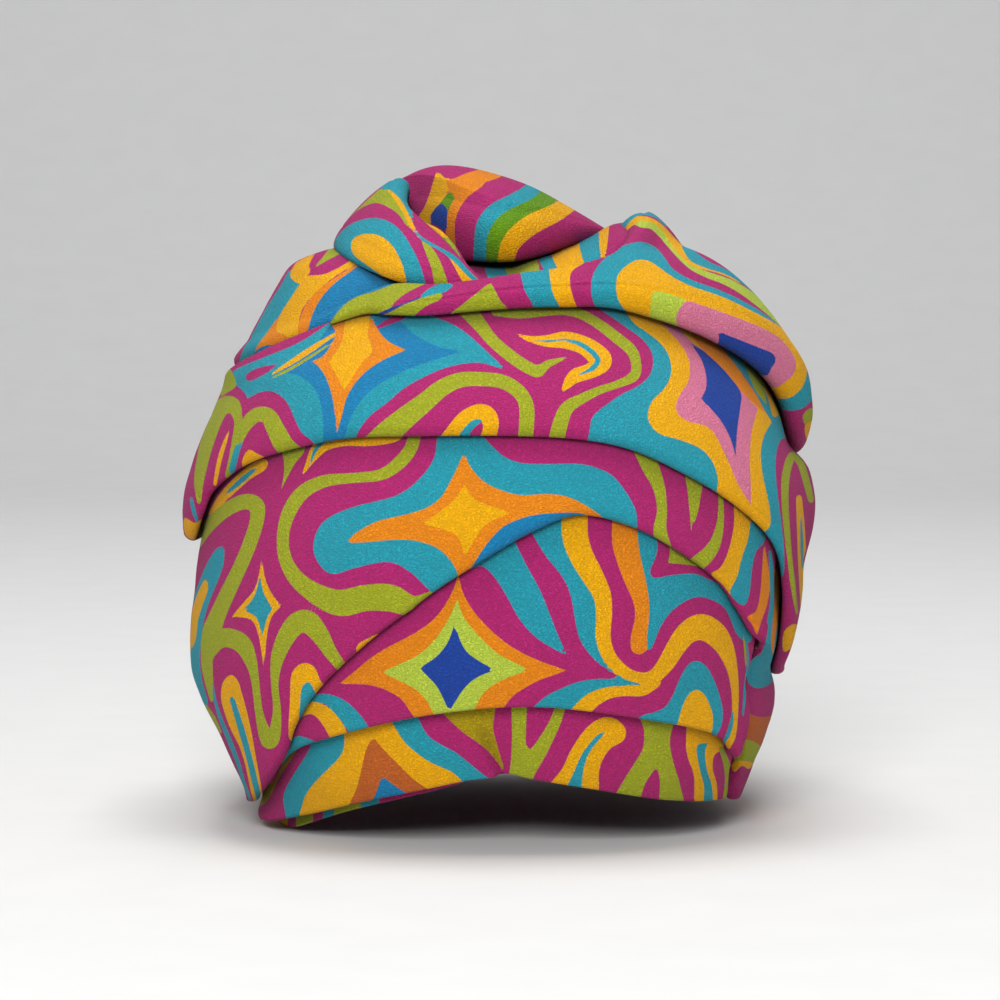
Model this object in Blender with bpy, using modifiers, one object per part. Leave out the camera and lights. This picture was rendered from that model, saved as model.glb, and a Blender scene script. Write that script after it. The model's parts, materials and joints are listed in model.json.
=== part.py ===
"""Head wrap of printed cloth, wound in folded bands, in the form it keeps on a head.

Frame: +Z is up, the face looks along -Y, and the origin is the middle of the front hem.
The tables are in millimetres. Every piece of cloth is placed on one smooth base body,
which is the outside of the innermost cap:
  turn    degrees round the head, 0 at the middle of the face, positive towards +X
  up      millimetres along the base body from the level of the front hem
  offset  millimetres out of the base body, square to it
"""
import bpy
import bmesh
import numpy as np

MM = 0.001
COLLECTION = "head_wrap"

# Base body: superellipse-like rings, narrowing below the widest ring, domed above it
HALF_WIDTH = 97.0
HALF_DEPTH = 112.0
CENTRE_BACK = 3.0
SQUARENESS = 0.03
WIDEST_UP = 58.0
CROWN_HEIGHT = 170.0
DOME_LENGTH = 110.0
DOME_POWER = 1.0 / 1.1
HEM_TAPER = 0.25
APEX_UP = WIDEST_UP + DOME_LENGTH * np.pi / 2

# Facet sizes
STATION_STEP = 16.0
MIDDLE_OFFSET = 12.0

# Rounded ends and edges: place along the rounding with how far the section is drawn in there,
# and limits as parts of the length and the width
END_ROUND_STEPS = ((0.0, 0.35), (0.35, 0.78), (1.0, 1.0))
LONGEST_END = 0.8
WIDEST_EDGE = 0.42
BUNDLE_END_FACTOR = 0.5

# Columns of the band tables that the stations are spaced by
TURN_LOW, UP_LOW, TURN_HIGH, UP_HIGH, THICK = 0, 1, 2, 3, 6

# Inner cap and crown cloth
CAP_WALL = 2.2
CAP_COLUMNS = 32
CAP_ROWS = 10
CROWN_WALL = 4.5
CROWN_LIFT = 1.0
CROWN_EDGE_UP = 118.0
CROWN_COLUMNS = 30
CROWN_ROWS = 6

# Hem of the inner cap: a row for each place round the head
CAP_HEM = (
    # turn, up
    (-180, -12), (-130, -14), (-95, -20), (-75, -26), (-60, -25.5), (-40, -18.5), (-20, -10.5),
    (-8, -5), (3, 3.5), (20, 1), (45, -8), (66, -13), (90, -16), (130, -14),
)

# Band tables: a row for each section across the band, from its lower to its upper edge.
# lift is the offset of the inner face at each edge, thick the wound thickness of the cloth,
# and puff what the outer face swells by.
BROW_BAND = (
    # turn_low, up_low, turn_high, up_high, lift_low, lift_high, thick, puff
    (-80, -22.5, -80, 8, 1.0, 1.0, 3.4, 0.0),
    (-66, -23.3, -66, 11, 1.0, 1.0, 4.2, 0.6),
    (-50, -18.5, -50, 16, 1.0, 1.0, 4.6, 1.0),
    (-34.5, -12.9, -34, 28, 1.0, 1.0, 4.6, 1.2),
    (-20.4, -7.5, -20, 36, 1.0, 1.0, 4.6, 1.2),
    (-8, -2.6, -8, 39, 1.0, 1.0, 4.4, 0.8),
    (-2, -0.6, -3, 40, 1.0, 1.0, 3.2, 0.0),
    (1.7, 0.2, 0, 40, 1.0, 1.0, 3.4, 0.0),
    (6, -1.4, 4, 40, 1.0, 1.0, 4.8, 0.8),
    (18.4, -5.5, 18, 38, 1.0, 1.0, 4.6, 1.2),
    (34, -10.5, 34, 32, 1.0, 1.0, 4.6, 1.0),
    (48, -13.5, 46, 24, 1.0, 1.0, 4.6, 0.6),
    (62, -15.5, 55.5, 8, 1.0, 1.0, 4.4, 0.0),
)
FRONT_CROSS = (
    # turn_low, up_low, turn_high, up_high, lift_low, lift_high, thick, puff
    (-63.5, -7.6, -63.5, 14, 6.6, 6.6, 3.4, 0.0),
    (-59, -6.9, -59, 18, 6.6, 6.6, 4.4, 0.0),
    (-52, 0.7, -52, 24, 6.6, 6.6, 4.6, 0.0),
    (-43.8, 7.8, -44, 33, 6.6, 6.6, 4.6, 0.0),
    (-31.2, 14.4, -31, 48, 6.6, 6.6, 4.6, 0.6),
    (-16.8, 21.1, -16.5, 71, 6.6, 6.6, 4.6, 1.2),
    (-4.5, 24.7, -4.5, 84, 6.6, 6.6, 4.6, 1.4),
    (5.2, 25.5, 5.2, 93, 6.6, 6.6, 4.6, 1.4),
    (13.2, 24.3, 13.2, 97, 6.6, 6.6, 4.6, 1.4),
    (24.5, 20.9, 24.5, 92, 6.6, 6.6, 4.6, 1.2),
    (37.6, 16, 38, 79, 6.6, 6.6, 4.6, 1.0),
    (46, 11, 47, 64, 6.6, 6.6, 4.6, 0.6),
    (53.5, 2.5, 54.5, 48, 6.6, 6.6, 4.4, 0.0),
)
LEFT_WRAP = (
    # turn_low, up_low, turn_high, up_high, lift_low, lift_high, thick, puff
    (-180, -14, -180, 84, 1.0, 1.4, 4.8, 1.0),
    (-150, -14, -150, 86, 1.0, 1.4, 4.8, 1.0),
    (-125, -16, -125, 88, 1.2, 2.4, 4.8, 1.6),
    (-105, -15.5, -105, 91, 1.8, 4.6, 4.8, 3.6),
    (-88, -17.5, -88, 93, 3.4, 7.4, 4.8, 5.2),
    (-75, -18.5, -74, 96, 6.8, 9.4, 4.8, 4.8),
    (-67, -17.5, -65, 99, 9.6, 10.6, 4.8, 3.6),
    (-60, -11.5, -59, 102, 12.0, 11.2, 4.8, 2.0),
    (-54.5, -5, -53, 104, 12.0, 11.6, 4.8, 1.6),
    (-45.9, 5.3, -45.5, 108, 12.0, 11.8, 4.8, 1.4),
    (-37.6, 20.1, -37, 112, 12.0, 12.0, 4.8, 1.4),
    (-27.7, 38.5, -27, 115, 12.0, 12.0, 4.8, 1.4),
    (-15.9, 56.3, -15.5, 117, 12.0, 12.0, 4.8, 1.2),
    (-3.7, 69.6, -3.5, 117, 12.0, 12.0, 4.8, 0.8),
    (5.2, 78.3, 5.2, 117, 12.0, 12.0, 4.8, 0.6),
    (13.3, 82.9, 13.3, 116, 12.0, 12.0, 4.8, 0.4),
    (22.5, 79.2, 22.5, 113, 12.0, 12.0, 4.8, 0.4),
    (32, 71, 32, 107, 12.0, 12.0, 4.8, 0.4),
    (42, 60.8, 41, 101, 12.0, 12.0, 4.8, 0.4),
    (49.4, 47.5, 48.5, 94, 12.0, 11.4, 4.8, 0.2),
    (54.5, 42.5, 55, 88, 11.6, 10.2, 4.8, 0.0),
    (57.6, 38.5, 61, 82, 6.6, 8.4, 4.8, 0.2),
    (58.0, 27, 67, 76, 2.6, 6.6, 4.8, 0.6),
    (58.8, 14, 74, 70, 1.2, 5.0, 4.8, 1.0),
    (62.4, 1, 81, 64, 1.0, 3.2, 4.8, 1.4),
    (66.6, -11.5, 88, 58, 1.0, 2.0, 4.8, 1.4),
    (75, -19, 96, 55, 1.0, 1.6, 4.8, 1.4),
    (100, -18, 110, 54, 1.0, 1.4, 4.8, 1.2),
    (135, -15, 140, 64, 1.0, 1.2, 4.8, 1.0),
)
MIDDLE_WRAP = (
    # turn_low, up_low, turn_high, up_high, lift_low, lift_high, thick, puff
    (-180, 56, -180, 114, 7.2, 7.8, 5.0, 1.0),
    (-150, 64, -150, 116, 7.2, 9.4, 5.0, 1.0),
    (-125, 70, -125, 118, 8.8, 11.8, 5.0, 1.4),
    (-105, 73, -105, 120, 11.4, 13.2, 5.0, 1.8),
    (-88, 74, -88, 122, 13.6, 14.2, 5.0, 1.8),
    (-74, 75, -74, 125.5, 15.6, 15.2, 5.0, 1.6),
    (-65.5, 77.8, -63, 129, 17.2, 16.2, 5.0, 1.4),
    (-60.5, 86, -54.5, 133, 17.8, 16.8, 5.0, 1.2),
    (-50, 94.7, -46, 139, 18.0, 17.2, 5.0, 1.2),
    (-38, 100.3, -37, 146, 18.0, 17.6, 5.0, 1.2),
    (-26.9, 104, -27, 152, 18.0, 17.8, 5.0, 1.2),
    (-14, 105, -14, 152, 18.0, 17.8, 5.0, 1.0),
    (0, 105.3, 0, 152.5, 18.0, 17.8, 5.0, 1.0),
    (12.7, 104.2, 13, 152.5, 18.0, 17.8, 5.0, 1.0),
    (22.5, 100.7, 23, 151.5, 18.0, 17.4, 5.0, 1.0),
    (32.5, 92.6, 34, 148.5, 18.0, 16.8, 5.0, 1.0),
    (42.7, 82.5, 45, 145, 17.8, 15.8, 5.0, 1.2),
    (50.5, 74, 55, 138, 17.4, 14.8, 5.0, 1.2),
    (57, 65.5, 65, 131, 15.8, 13.6, 5.0, 1.0),
    (63, 57, 74, 124, 12.8, 12.4, 5.0, 1.0),
    (69, 46, 82, 117, 9.8, 11.6, 5.0, 1.0),
    (76, 35, 90, 113, 8.2, 11.2, 5.0, 1.0),
    (87, 25.5, 100, 110, 7.4, 10.8, 5.0, 1.0),
    (103, 23, 114, 109, 7.2, 10.0, 5.0, 1.0),
    (135, 33, 138, 111, 7.2, 8.6, 5.0, 1.0),
)
LEFT_DRAPE = (
    # turn_low, up_low, turn_high, up_high, lift_low, lift_high, thick, puff
    (-146, 121, -146, 148, 6.4, 6.6, 3.0, 0.4),
    (-124, 120.5, -124, 166, 6.4, 7.4, 7.0, 4.0),
    (-102, 121.8, -102, 180, 6.4, 8.0, 11.0, 6.0),
    (-82, 124.8, -82, 185, 6.6, 8.0, 12.5, 6.6),
    (-66, 129.8, -66, 182, 6.8, 8.4, 12.8, 6.6),
    (-52, 136.0, -52, 178, 7.0, 9.0, 12.8, 5.2),
    (-40, 145.2, -40, 174, 7.4, 9.2, 12.2, 3.4),
    (-29, 152.6, -29, 170, 8.0, 8.6, 10.0, 1.6),
    (-19, 155.8, -19, 168, 8.6, 8.6, 6.0, 0.6),
    (-11, 156.0, -11, 163, 9.0, 9.0, 3.4, 0.2),
)
RIGHT_ROLL = (
    # turn_low, up_low, turn_high, up_high, lift_low, lift_high, thick, puff
    (-31, 146.5, -31, 154.5, 24.6, 24.6, 3.0, 0.0),
    (-25, 142.6, -25, 154.0, 24.6, 24.4, 4.6, 0.4),
    (-16, 142.5, -15, 153.8, 24.4, 23.8, 6.0, 0.8),
    (-7, 144, -6, 155.6, 24.4, 22.8, 7.0, 1.0),
    (4, 145.4, 5, 158.5, 24.4, 22.6, 7.6, 1.0),
    (14, 145.6, 16, 161.5, 24.4, 21.6, 8.2, 1.2),
    (24, 145.3, 30, 167, 24.2, 20.6, 9.0, 1.4),
    (34, 141, 45, 177, 23.8, 18.8, 10.4, 2.0),
    (44, 135, 60, 186, 23.2, 17.4, 12.2, 3.0),
    (53, 128, 73, 191.5, 22.4, 17.4, 13.6, 3.8),
    (62, 120.5, 85, 192, 21.0, 17.0, 13.6, 3.6),
    (70, 112, 95, 189, 19.6, 15.6, 13.8, 3.0),
    (78, 102.5, 104, 187, 17.8, 15.4, 11.6, 2.4),
    (88, 95, 113, 183, 17.2, 15.2, 9.6, 2.0),
    (101, 92.5, 125, 179, 17.0, 14.8, 9.6, 2.0),
    (122, 93.5, 140, 174, 16.6, 14.0, 11.4, 2.2),
    (147, 99, 158, 170, 15.6, 13.6, 12.0, 2.4),
    (174, 103, 178, 167, 14.4, 13.6, 11.0, 2.2),
    (200, 107, 200, 163, 15.8, 15.8, 9.0, 1.6),
    (220, 113, 218, 157, 17.8, 17.8, 6.0, 0.8),
)
FRONT_FOLD = (
    # turn_low, up_low, turn_high, up_high, lift_low, lift_high, thick, puff
    (-4.5, 157.5, -4.5, 162, 20.0, 19.0, 4.0, 0.0),
    (-10.5, 156.4, -9, 166.5, 21.6, 20.0, 6.0, 0.6),
    (-18, 156.2, -13.5, 171, 22.4, 21.4, 8.0, 1.4),
    (-27, 158, -18.5, 176, 23.0, 22.4, 9.6, 2.0),
    (-38, 162.4, -26, 182, 23.6, 23.6, 10.4, 2.2),
    (-52, 168.2, -38, 189, 24.4, 25.6, 10.4, 2.0),
    (-70, 173.6, -60, 195.5, 24.4, 28.8, 9.2, 1.6),
    (-88, 176.0, -84, 200.2, 24.2, 30.8, 8.4, 1.2),
    (-106, 176, -106, 198, 22.0, 27.0, 8.4, 1.2),
    (-124, 173, -124, 189, 19.0, 21.0, 7.6, 1.0),
    (-142, 168, -142, 179, 14.6, 15.6, 6.0, 0.6),
)
KNOT_LIP = (
    # turn_low, up_low, turn_high, up_high, lift_low, lift_high, thick, puff
    (-7.0, 164.2, -6.0, 171.5, 16.0, 14.0, 4.0, 0.0),
    (-12.0, 168.8, -9.5, 179.0, 18.0, 15.5, 6.0, 0.4),
    (-18.0, 174.7, -14.5, 187.5, 20.0, 17.5, 7.4, 1.0),
    (-27.5, 182.6, -24, 195.5, 21.5, 19.0, 7.4, 1.0),
    (-43, 191.8, -43, 203.5, 22.0, 19.5, 5.0, 0.0),
)

# Hood-like bundle on the crown: a row for each section across it, by its place on the
# flattened crown, with x across, and its front and back edges along y
TOP_ROLL = (
    # x_front, y_front, x_back, y_back, lift, thick, puff
    (-28.2, 1, -28.2, 19, 6.2, 24.8, 7.0),
    (-24.5, -8, -24.5, 34, 6.2, 24.8, 10.5),
    (-18.0, -20.0, -17, 48, 6.2, 23.8, 12.5),
    (-10, -31, -9, 55, 6.2, 21.8, 13.5),
    (-1.0, -37.5, 0, 57, 6.2, 20.8, 12.5),
    (9, -33, 9, 54, 6.4, 18.8, 10.5),
    (18, -23, 18, 47, 7.2, 16.8, 8.0),
    (26.5, -13, 26.5, 36, 8.5, 13.5, 5.0),
    (33.0, -5, 33.5, 18, 10.0, 10.0, 3.0),
)

# Colours of the cloth, as linear red, green and blue
MAGENTA = (0.45, 0.022, 0.17)
TEAL = (0.023, 0.35, 0.46)
LIME = (0.36, 0.44, 0.017)
YELLOW = (0.88, 0.48, 0.003)
CLOTH_ROUGHNESS = 0.82


def base_ring(up):
    """How far out and how high the base body's ring at this height lies."""
    above = np.clip((up - WIDEST_UP) / DOME_LENGTH, 0.0, np.pi / 2)
    below = np.minimum(up - WIDEST_UP, 0.0) / 100.0
    out = np.where(up > WIDEST_UP, np.cos(above), 1.0 - HEM_TAPER * below ** 2)
    dome = WIDEST_UP + (CROWN_HEIGHT - WIDEST_UP) * np.sin(above) ** DOME_POWER
    return out, np.where(up > WIDEST_UP, dome, up)


def base_point(turn, up):
    """Points of the base body, in millimetres."""
    angle = np.radians(turn)
    out, height = base_ring(up)
    across = HALF_WIDTH * out * (np.sin(angle) + SQUARENESS * np.sin(3 * angle))
    along = HALF_DEPTH * out * (np.cos(angle) - SQUARENESS * np.cos(3 * angle))
    scale = 1.0 - SQUARENESS
    return np.stack([across / scale, CENTRE_BACK - along / scale, height], axis=-1)


def base_normal(turn, up):
    """Directions square out of the base body."""
    up = np.minimum(up, APEX_UP - 0.5)
    round_way = base_point(turn + 0.01, up) - base_point(turn - 0.01, up)
    up_way = base_point(turn, up + 0.05) - base_point(turn, up - 0.05)
    normal = np.cross(round_way, up_way)
    return normal / np.linalg.norm(normal, axis=-1, keepdims=True)


def place(turn, up, offset):
    """Points at an offset out of the base body, in millimetres."""
    turn, up, offset = np.broadcast_arrays(*(np.asarray(v, float) for v in (turn, up, offset)))
    return base_point(turn, up) + base_normal(turn, up) * offset[..., None]


def catmull_rom(p0, p1, p2, p3, t):
    """Point at part t of the smooth curve from p1 to p2."""
    return 0.5 * (2 * p1 + (p2 - p0) * t + (2 * p0 - 5 * p1 + 4 * p2 - p3) * t ** 2
                  + (3 * p1 - p0 - 3 * p2 + p3) * t ** 3)


def edge_distance(first, second, turn, up):
    """Distance between the same edge of two rows, half way out through the cloth."""
    return np.linalg.norm(place(first[turn], first[up], MIDDLE_OFFSET)
                          - place(second[turn], second[up], MIDDLE_OFFSET))


def smooth_rows(rows, closed):
    """Smooth curve through table rows, with a station about every STATION_STEP."""
    rows = np.array(rows, float)
    if closed:
        full_turn = np.zeros(rows.shape[1])
        full_turn[[TURN_LOW, TURN_HIGH]] = 360.0
        padded = np.vstack([rows[-1] - full_turn, rows, rows[:2] + full_turn])
    else:
        padded = np.vstack([2 * rows[0] - rows[1], rows, 2 * rows[-1] - rows[-2]])
    stations = []
    for p0, p1, p2, p3 in zip(padded, padded[1:], padded[2:], padded[3:]):
        low = edge_distance(p1, p2, TURN_LOW, UP_LOW)
        high = edge_distance(p1, p2, TURN_HIGH, UP_HIGH)
        cuts = max(1, int(np.ceil(max(low, high) / STATION_STEP)))
        stations += [catmull_rom(p0, p1, p2, p3, cut / cuts) for cut in range(cuts)]
    if not closed:
        stations.append(rows[-1])
    return np.array(stations)


def band_section(width, thick, puff, outer_cuts, inner_cuts, puff_span):
    """Closed section of a folded band: place across it (0 to 1) and height over its inner face."""
    edge = min(thick / 2, WIDEST_EDGE * width)
    start, end = puff_span
    across = []
    height = []
    for angle in np.radians((0.0, 45.0)):
        across.append(edge * (1 - np.cos(angle)) / width)
        height.append(thick / 2 * (1 + np.sin(angle)))
    for t in np.linspace(edge / width, 1 - edge / width, outer_cuts + 1):
        swell = np.clip((t - start) / (end - start), 0.0, 1.0)
        across.append(t)
        height.append(thick + puff * np.sin(np.pi * swell))
    for angle in np.radians((45.0, 0.0)):
        across.append(1 - edge * (1 - np.cos(angle)) / width)
        height.append(thick / 2 * (1 + np.sin(angle)))
    for t in np.linspace(1 - edge / width, edge / width, inner_cuts + 1):
        across.append(t)
        height.append(0.0)
    return np.array(across), np.array(height)


def shrink_section(across, height, thick, factor, width):
    """The same section drawn in towards its middle, for a rounded free end."""
    inset = min(thick / 2 * (1 - factor) / width, WIDEST_EDGE)
    return inset + across * (1 - 2 * inset), thick / 2 + (height - thick / 2) * factor


def from_flat_crown(x, y):
    """Turn and height of a place on the flattened crown."""
    return np.degrees(np.arctan2(x, -y)), APEX_UP - np.hypot(x, y)


def end_stations(stations):
    """Add rounding stations at both free ends, each with its shrink factor."""
    rounded = []
    for end, following in ((0, 1), (-1, -2)):
        first, second = stations[end], stations[following]
        gap = edge_distance(first, second, TURN_LOW, UP_LOW)
        reach = min(first[THICK] / 2 / gap, LONGEST_END)
        rounded.append([(first + (second - first) * reach * part, factor) for part, factor in END_ROUND_STEPS])
    middle = [(row, 1.0) for row in stations[1:-1]]
    return rounded[0] + middle + rounded[1][::-1]


def loft(name, loops, closed, colour):
    """One closed mesh through equal loops of points, in millimetres."""
    mesh = bpy.data.meshes.new(name)
    build = bmesh.new()
    rings = [[build.verts.new(point * MM) for point in loop] for loop in loops]
    count = len(rings[0])
    last = len(rings) if closed else len(rings) - 1
    for index in range(last):
        ring, following = rings[index], rings[(index + 1) % len(rings)]
        for k in range(count):
            n = (k + 1) % count
            build.faces.new((ring[k], following[k], following[n], ring[n]))
    if not closed:
        build.faces.new(rings[0])
        build.faces.new(rings[-1][::-1])
    bmesh.ops.triangulate(build, faces=build.faces)
    bmesh.ops.recalc_face_normals(build, faces=build.faces)
    build.to_mesh(mesh)
    build.free()
    return finish_object(name, mesh, colour)


def finish_object(name, mesh, colour):
    """Object with its own cloth material, shaded smooth."""
    for polygon in mesh.polygons:
        polygon.use_smooth = True
    item = bpy.data.objects.new(name, mesh)
    bpy.data.collections[COLLECTION].objects.link(item)
    material = bpy.data.materials.new(name + "_cloth")
    material.use_nodes = True
    shader = material.node_tree.nodes["Principled BSDF"]
    shader.inputs["Base Color"].default_value = (*colour, 1.0)
    shader.inputs["Roughness"].default_value = CLOTH_ROUGHNESS
    shader.inputs["Metallic"].default_value = 0.0
    mesh.materials.append(material)
    return item


def band(name, rows, closed, colour, outer_cuts, inner_cuts, puff_span):
    """Folded band of cloth through the sections of its table."""
    stations = smooth_rows(rows, closed)
    marked = [(row, 1.0) for row in stations] if closed else end_stations(stations)
    loops = []
    for row, factor in marked:
        turn_low, up_low, turn_high, up_high, lift_low, lift_high, thick, puff = row
        low_edge = place(turn_low, up_low, MIDDLE_OFFSET)
        width = np.linalg.norm(low_edge - place(turn_high, up_high, MIDDLE_OFFSET))
        across, height = band_section(width, thick, puff, outer_cuts, inner_cuts, puff_span)
        across, height = shrink_section(across, height, thick, factor, width)
        turn = turn_low + (turn_high - turn_low) * across
        up = up_low + (up_high - up_low) * across
        offset = lift_low + (lift_high - lift_low) * across + height
        loops.append(place(turn, up, offset))
    return loft(name, loops, closed, colour)


def crown_bundle(name, rows, colour, outer_cuts, inner_cuts):
    """Hood-like bundle whose sections run from front to back over the crown."""
    rows = np.array(rows, float)
    padded = np.vstack([2 * rows[0] - rows[1], rows, 2 * rows[-1] - rows[-2]])
    fine = []
    for p0, p1, p2, p3 in zip(padded, padded[1:], padded[2:], padded[3:]):
        fine += [p1, catmull_rom(p0, p1, p2, p3, 0.5)]
    fine.append(rows[-1])
    loops = []
    last = len(fine) - 1
    for index, row in enumerate(fine):
        x_front, y_front, x_back, y_back, lift, thick, puff = row
        factor = BUNDLE_END_FACTOR if index in (0, last) else 1.0
        width = np.hypot(x_back - x_front, y_back - y_front)
        across, height = band_section(width, thick, puff, outer_cuts, inner_cuts, (0.0, 1.0))
        across, height = shrink_section(across, height, thick, factor, width)
        x = x_front + (x_back - x_front) * across
        y = y_front + (y_back - y_front) * across
        turn, up = from_flat_crown(x, y)
        loops.append(place(turn, up, lift + height))
    return loft(name, loops, False, colour)


def dome(name, edge_up, lift, wall, columns, rows, colour):
    """Domed cloth from an edge, given as a height for each turn, up to the top of the head."""
    mesh = bpy.data.meshes.new(name)
    build = bmesh.new()
    turns = np.arange(columns) * 360.0 / columns - 180.0
    edges = edge_up(turns)
    rings = []
    for row in range(rows):
        part = row / rows
        ups = edges + (APEX_UP - edges) * part
        points = place(turns, ups, lift)
        rings.append([build.verts.new(point * MM) for point in points])
    top = build.verts.new(place(0.0, APEX_UP, lift) * MM)
    for lower, upper in zip(rings, rings[1:]):
        for k in range(columns):
            n = (k + 1) % columns
            build.faces.new((lower[k], lower[n], upper[n], upper[k]))
    for k in range(columns):
        build.faces.new((rings[-1][k], rings[-1][(k + 1) % columns], top))
    build.to_mesh(mesh)
    build.free()
    item = finish_object(name, mesh, colour)
    shell = item.modifiers.new("Wall", "SOLIDIFY")
    shell.thickness = abs(wall) * MM
    shell.offset = 1.0 if wall > 0 else -1.0
    shell.use_even_offset = True
    return item


def cap_hem_up(turns):
    """Height of the inner cap's hem at each turn."""
    table = np.array(CAP_HEM, float)
    return np.interp(turns, table[:, 0], table[:, 1], period=360.0)


def crown_edge_up(turns):
    """Height of the crown cloth's lower edge, which lies hidden under the bands."""
    return np.full_like(turns, CROWN_EDGE_UP)


def crown_cap():
    return dome("crown_cap", cap_hem_up, 0.0, -CAP_WALL, CAP_COLUMNS, CAP_ROWS, MAGENTA)


def crown_wrap():
    return dome("crown_wrap", crown_edge_up, CROWN_LIFT, CROWN_WALL, CROWN_COLUMNS, CROWN_ROWS, TEAL)


def brow_band():
    return band("brow_band", BROW_BAND, False, YELLOW, 4, 3, puff_span=(0.0, 0.5))


def front_cross():
    return band("front_cross", FRONT_CROSS, False, MAGENTA, 5, 4, puff_span=(0.0, 0.75))


def left_wrap():
    return band("left_wrap", LEFT_WRAP, True, LIME, 7, 5, puff_span=(0.0, 0.8))


def middle_wrap():
    return band("middle_wrap", MIDDLE_WRAP, True, MAGENTA, 5, 4, puff_span=(0.0, 0.7))


def left_drape():
    return band("left_drape", LEFT_DRAPE, False, TEAL, 7, 4, puff_span=(0.2, 1.0))


def right_roll():
    return band("right_roll", RIGHT_ROLL, False, YELLOW, 6, 4, puff_span=(0.0, 1.0))


def front_fold():
    return band("front_fold", FRONT_FOLD, False, TEAL, 5, 3, puff_span=(0.0, 1.0))


def knot_lip():
    return band("knot_lip", KNOT_LIP, False, LIME, 3, 2, puff_span=(0.0, 1.0))


def top_roll():
    return crown_bundle("top_roll", TOP_ROLL, MAGENTA, 9, 5)


def main():
    for item in list(bpy.data.objects):
        bpy.data.objects.remove(item)
    collection = bpy.data.collections.new(COLLECTION)
    bpy.context.scene.collection.children.link(collection)
    crown_cap()
    crown_wrap()
    brow_band()
    front_cross()
    left_wrap()
    middle_wrap()
    left_drape()
    right_roll()
    front_fold()
    knot_lip()
    top_roll()


main()
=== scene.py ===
"""Head wrap of printed cloth: the cloth pieces in fine meshes over the fixed frame.

Every piece repeats the chart of its solid, in millimetres on one smooth base body:
  turn    degrees round the head, 0 at the middle of the face, positive towards +X
  up      millimetres along the base body from the level of the front hem
  offset  millimetres out of the base body, square to it
The print is drawn on a flat sheet laid over the front view, and carried on round the sides
and the back by stars with outlines that run into each other.
"""
import json

import bpy
import numpy as np
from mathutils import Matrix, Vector
from mathutils.bvhtree import BVHTree

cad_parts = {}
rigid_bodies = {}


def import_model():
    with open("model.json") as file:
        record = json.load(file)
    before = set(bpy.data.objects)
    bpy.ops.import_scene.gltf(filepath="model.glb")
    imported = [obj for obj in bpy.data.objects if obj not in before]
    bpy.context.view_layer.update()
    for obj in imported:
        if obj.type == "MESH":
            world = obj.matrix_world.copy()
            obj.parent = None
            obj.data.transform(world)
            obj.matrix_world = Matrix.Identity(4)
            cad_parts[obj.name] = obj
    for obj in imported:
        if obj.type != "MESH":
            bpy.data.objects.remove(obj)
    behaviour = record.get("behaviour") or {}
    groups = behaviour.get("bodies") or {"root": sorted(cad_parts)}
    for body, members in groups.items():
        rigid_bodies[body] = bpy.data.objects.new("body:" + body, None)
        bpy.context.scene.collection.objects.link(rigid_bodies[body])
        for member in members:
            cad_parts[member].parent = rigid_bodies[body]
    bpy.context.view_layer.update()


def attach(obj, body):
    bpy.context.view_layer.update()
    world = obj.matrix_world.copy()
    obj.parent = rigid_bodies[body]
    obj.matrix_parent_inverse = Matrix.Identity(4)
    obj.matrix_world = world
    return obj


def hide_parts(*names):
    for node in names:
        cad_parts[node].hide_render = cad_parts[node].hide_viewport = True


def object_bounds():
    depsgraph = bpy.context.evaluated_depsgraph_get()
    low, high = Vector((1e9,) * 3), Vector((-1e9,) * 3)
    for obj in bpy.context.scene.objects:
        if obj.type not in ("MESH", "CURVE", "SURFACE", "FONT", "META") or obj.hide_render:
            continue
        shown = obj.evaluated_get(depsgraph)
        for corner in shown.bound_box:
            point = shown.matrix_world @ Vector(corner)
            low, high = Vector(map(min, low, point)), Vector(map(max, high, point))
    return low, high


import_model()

MM = 0.001
BODY = "root"
FINE_STEP = 1.7

# Base body: rounded rings, narrowing below the widest ring, domed above it
HALF_WIDTH = 97.0
HALF_DEPTH = 112.0
CENTRE_BACK = 3.0
SQUARENESS = 0.03
WIDEST_UP = 58.0
CROWN_HEIGHT = 170.0
DOME_LENGTH = 110.0
DOME_POWER = 1.0 / 1.1
HEM_TAPER = 0.25
TAPER_DEPTH = 100.0
MEAN_RADIUS = 106.0
APEX_UP = WIDEST_UP + DOME_LENGTH * np.pi / 2
TURN_STEP, UP_STEP = 0.01, 0.05

# Band sections: the lift at which they are measured, the columns of their tables, how far across
# their rounded edges reach, in how many steps and how flat against the turn below
MIDDLE_OFFSET = 12.0
TURN_LOW, UP_LOW, TURN_HIGH, UP_HIGH, THICK = 0, 1, 2, 3, 6
WIDEST_EDGE = 0.42
ROUND_STEPS = 7
EDGE_DROOP = 1.6
SOFT_EDGE = 9.0
PUFF_AT_EDGE = 0.6
END_ANGLES = np.linspace(0.12, np.pi / 2, 6)
FEWEST_INNER_CUTS = 4

# Soft creases: wave lengths, how many waves, and the level above which they dent the cloth
WAVE_LENGTHS = (18.0, 60.0)
WAVE_COUNT = 7
WAVE_RADIUS = 100.0
DENT_LEVEL = 0.05

# Inner cap and crown wrap
CAP_WALL = 2.2
CROWN_WALL = 4.5
CROWN_LIFT = 1.0
CROWN_EDGE_UP = 118.0
DOME_HEIGHT = 170.0
DOME_STEP = FINE_STEP * 1.25
DOME_TOP = 0.996
DOME_HEM_RINGS = 9
HEM_BLUR = 5.0

# Hem of the inner cap: a row for each place round the head
CAP_HEM = (
    # turn, up
    (-180, -12), (-130, -14), (-95, -21), (-75, -28.5), (-60, -28), (-40, -18.5), (-20, -10.5),
    (-8, -5), (3, 3.5), (20, 1), (45, -8), (66, -13), (90, -16), (130, -14),
)

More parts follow.
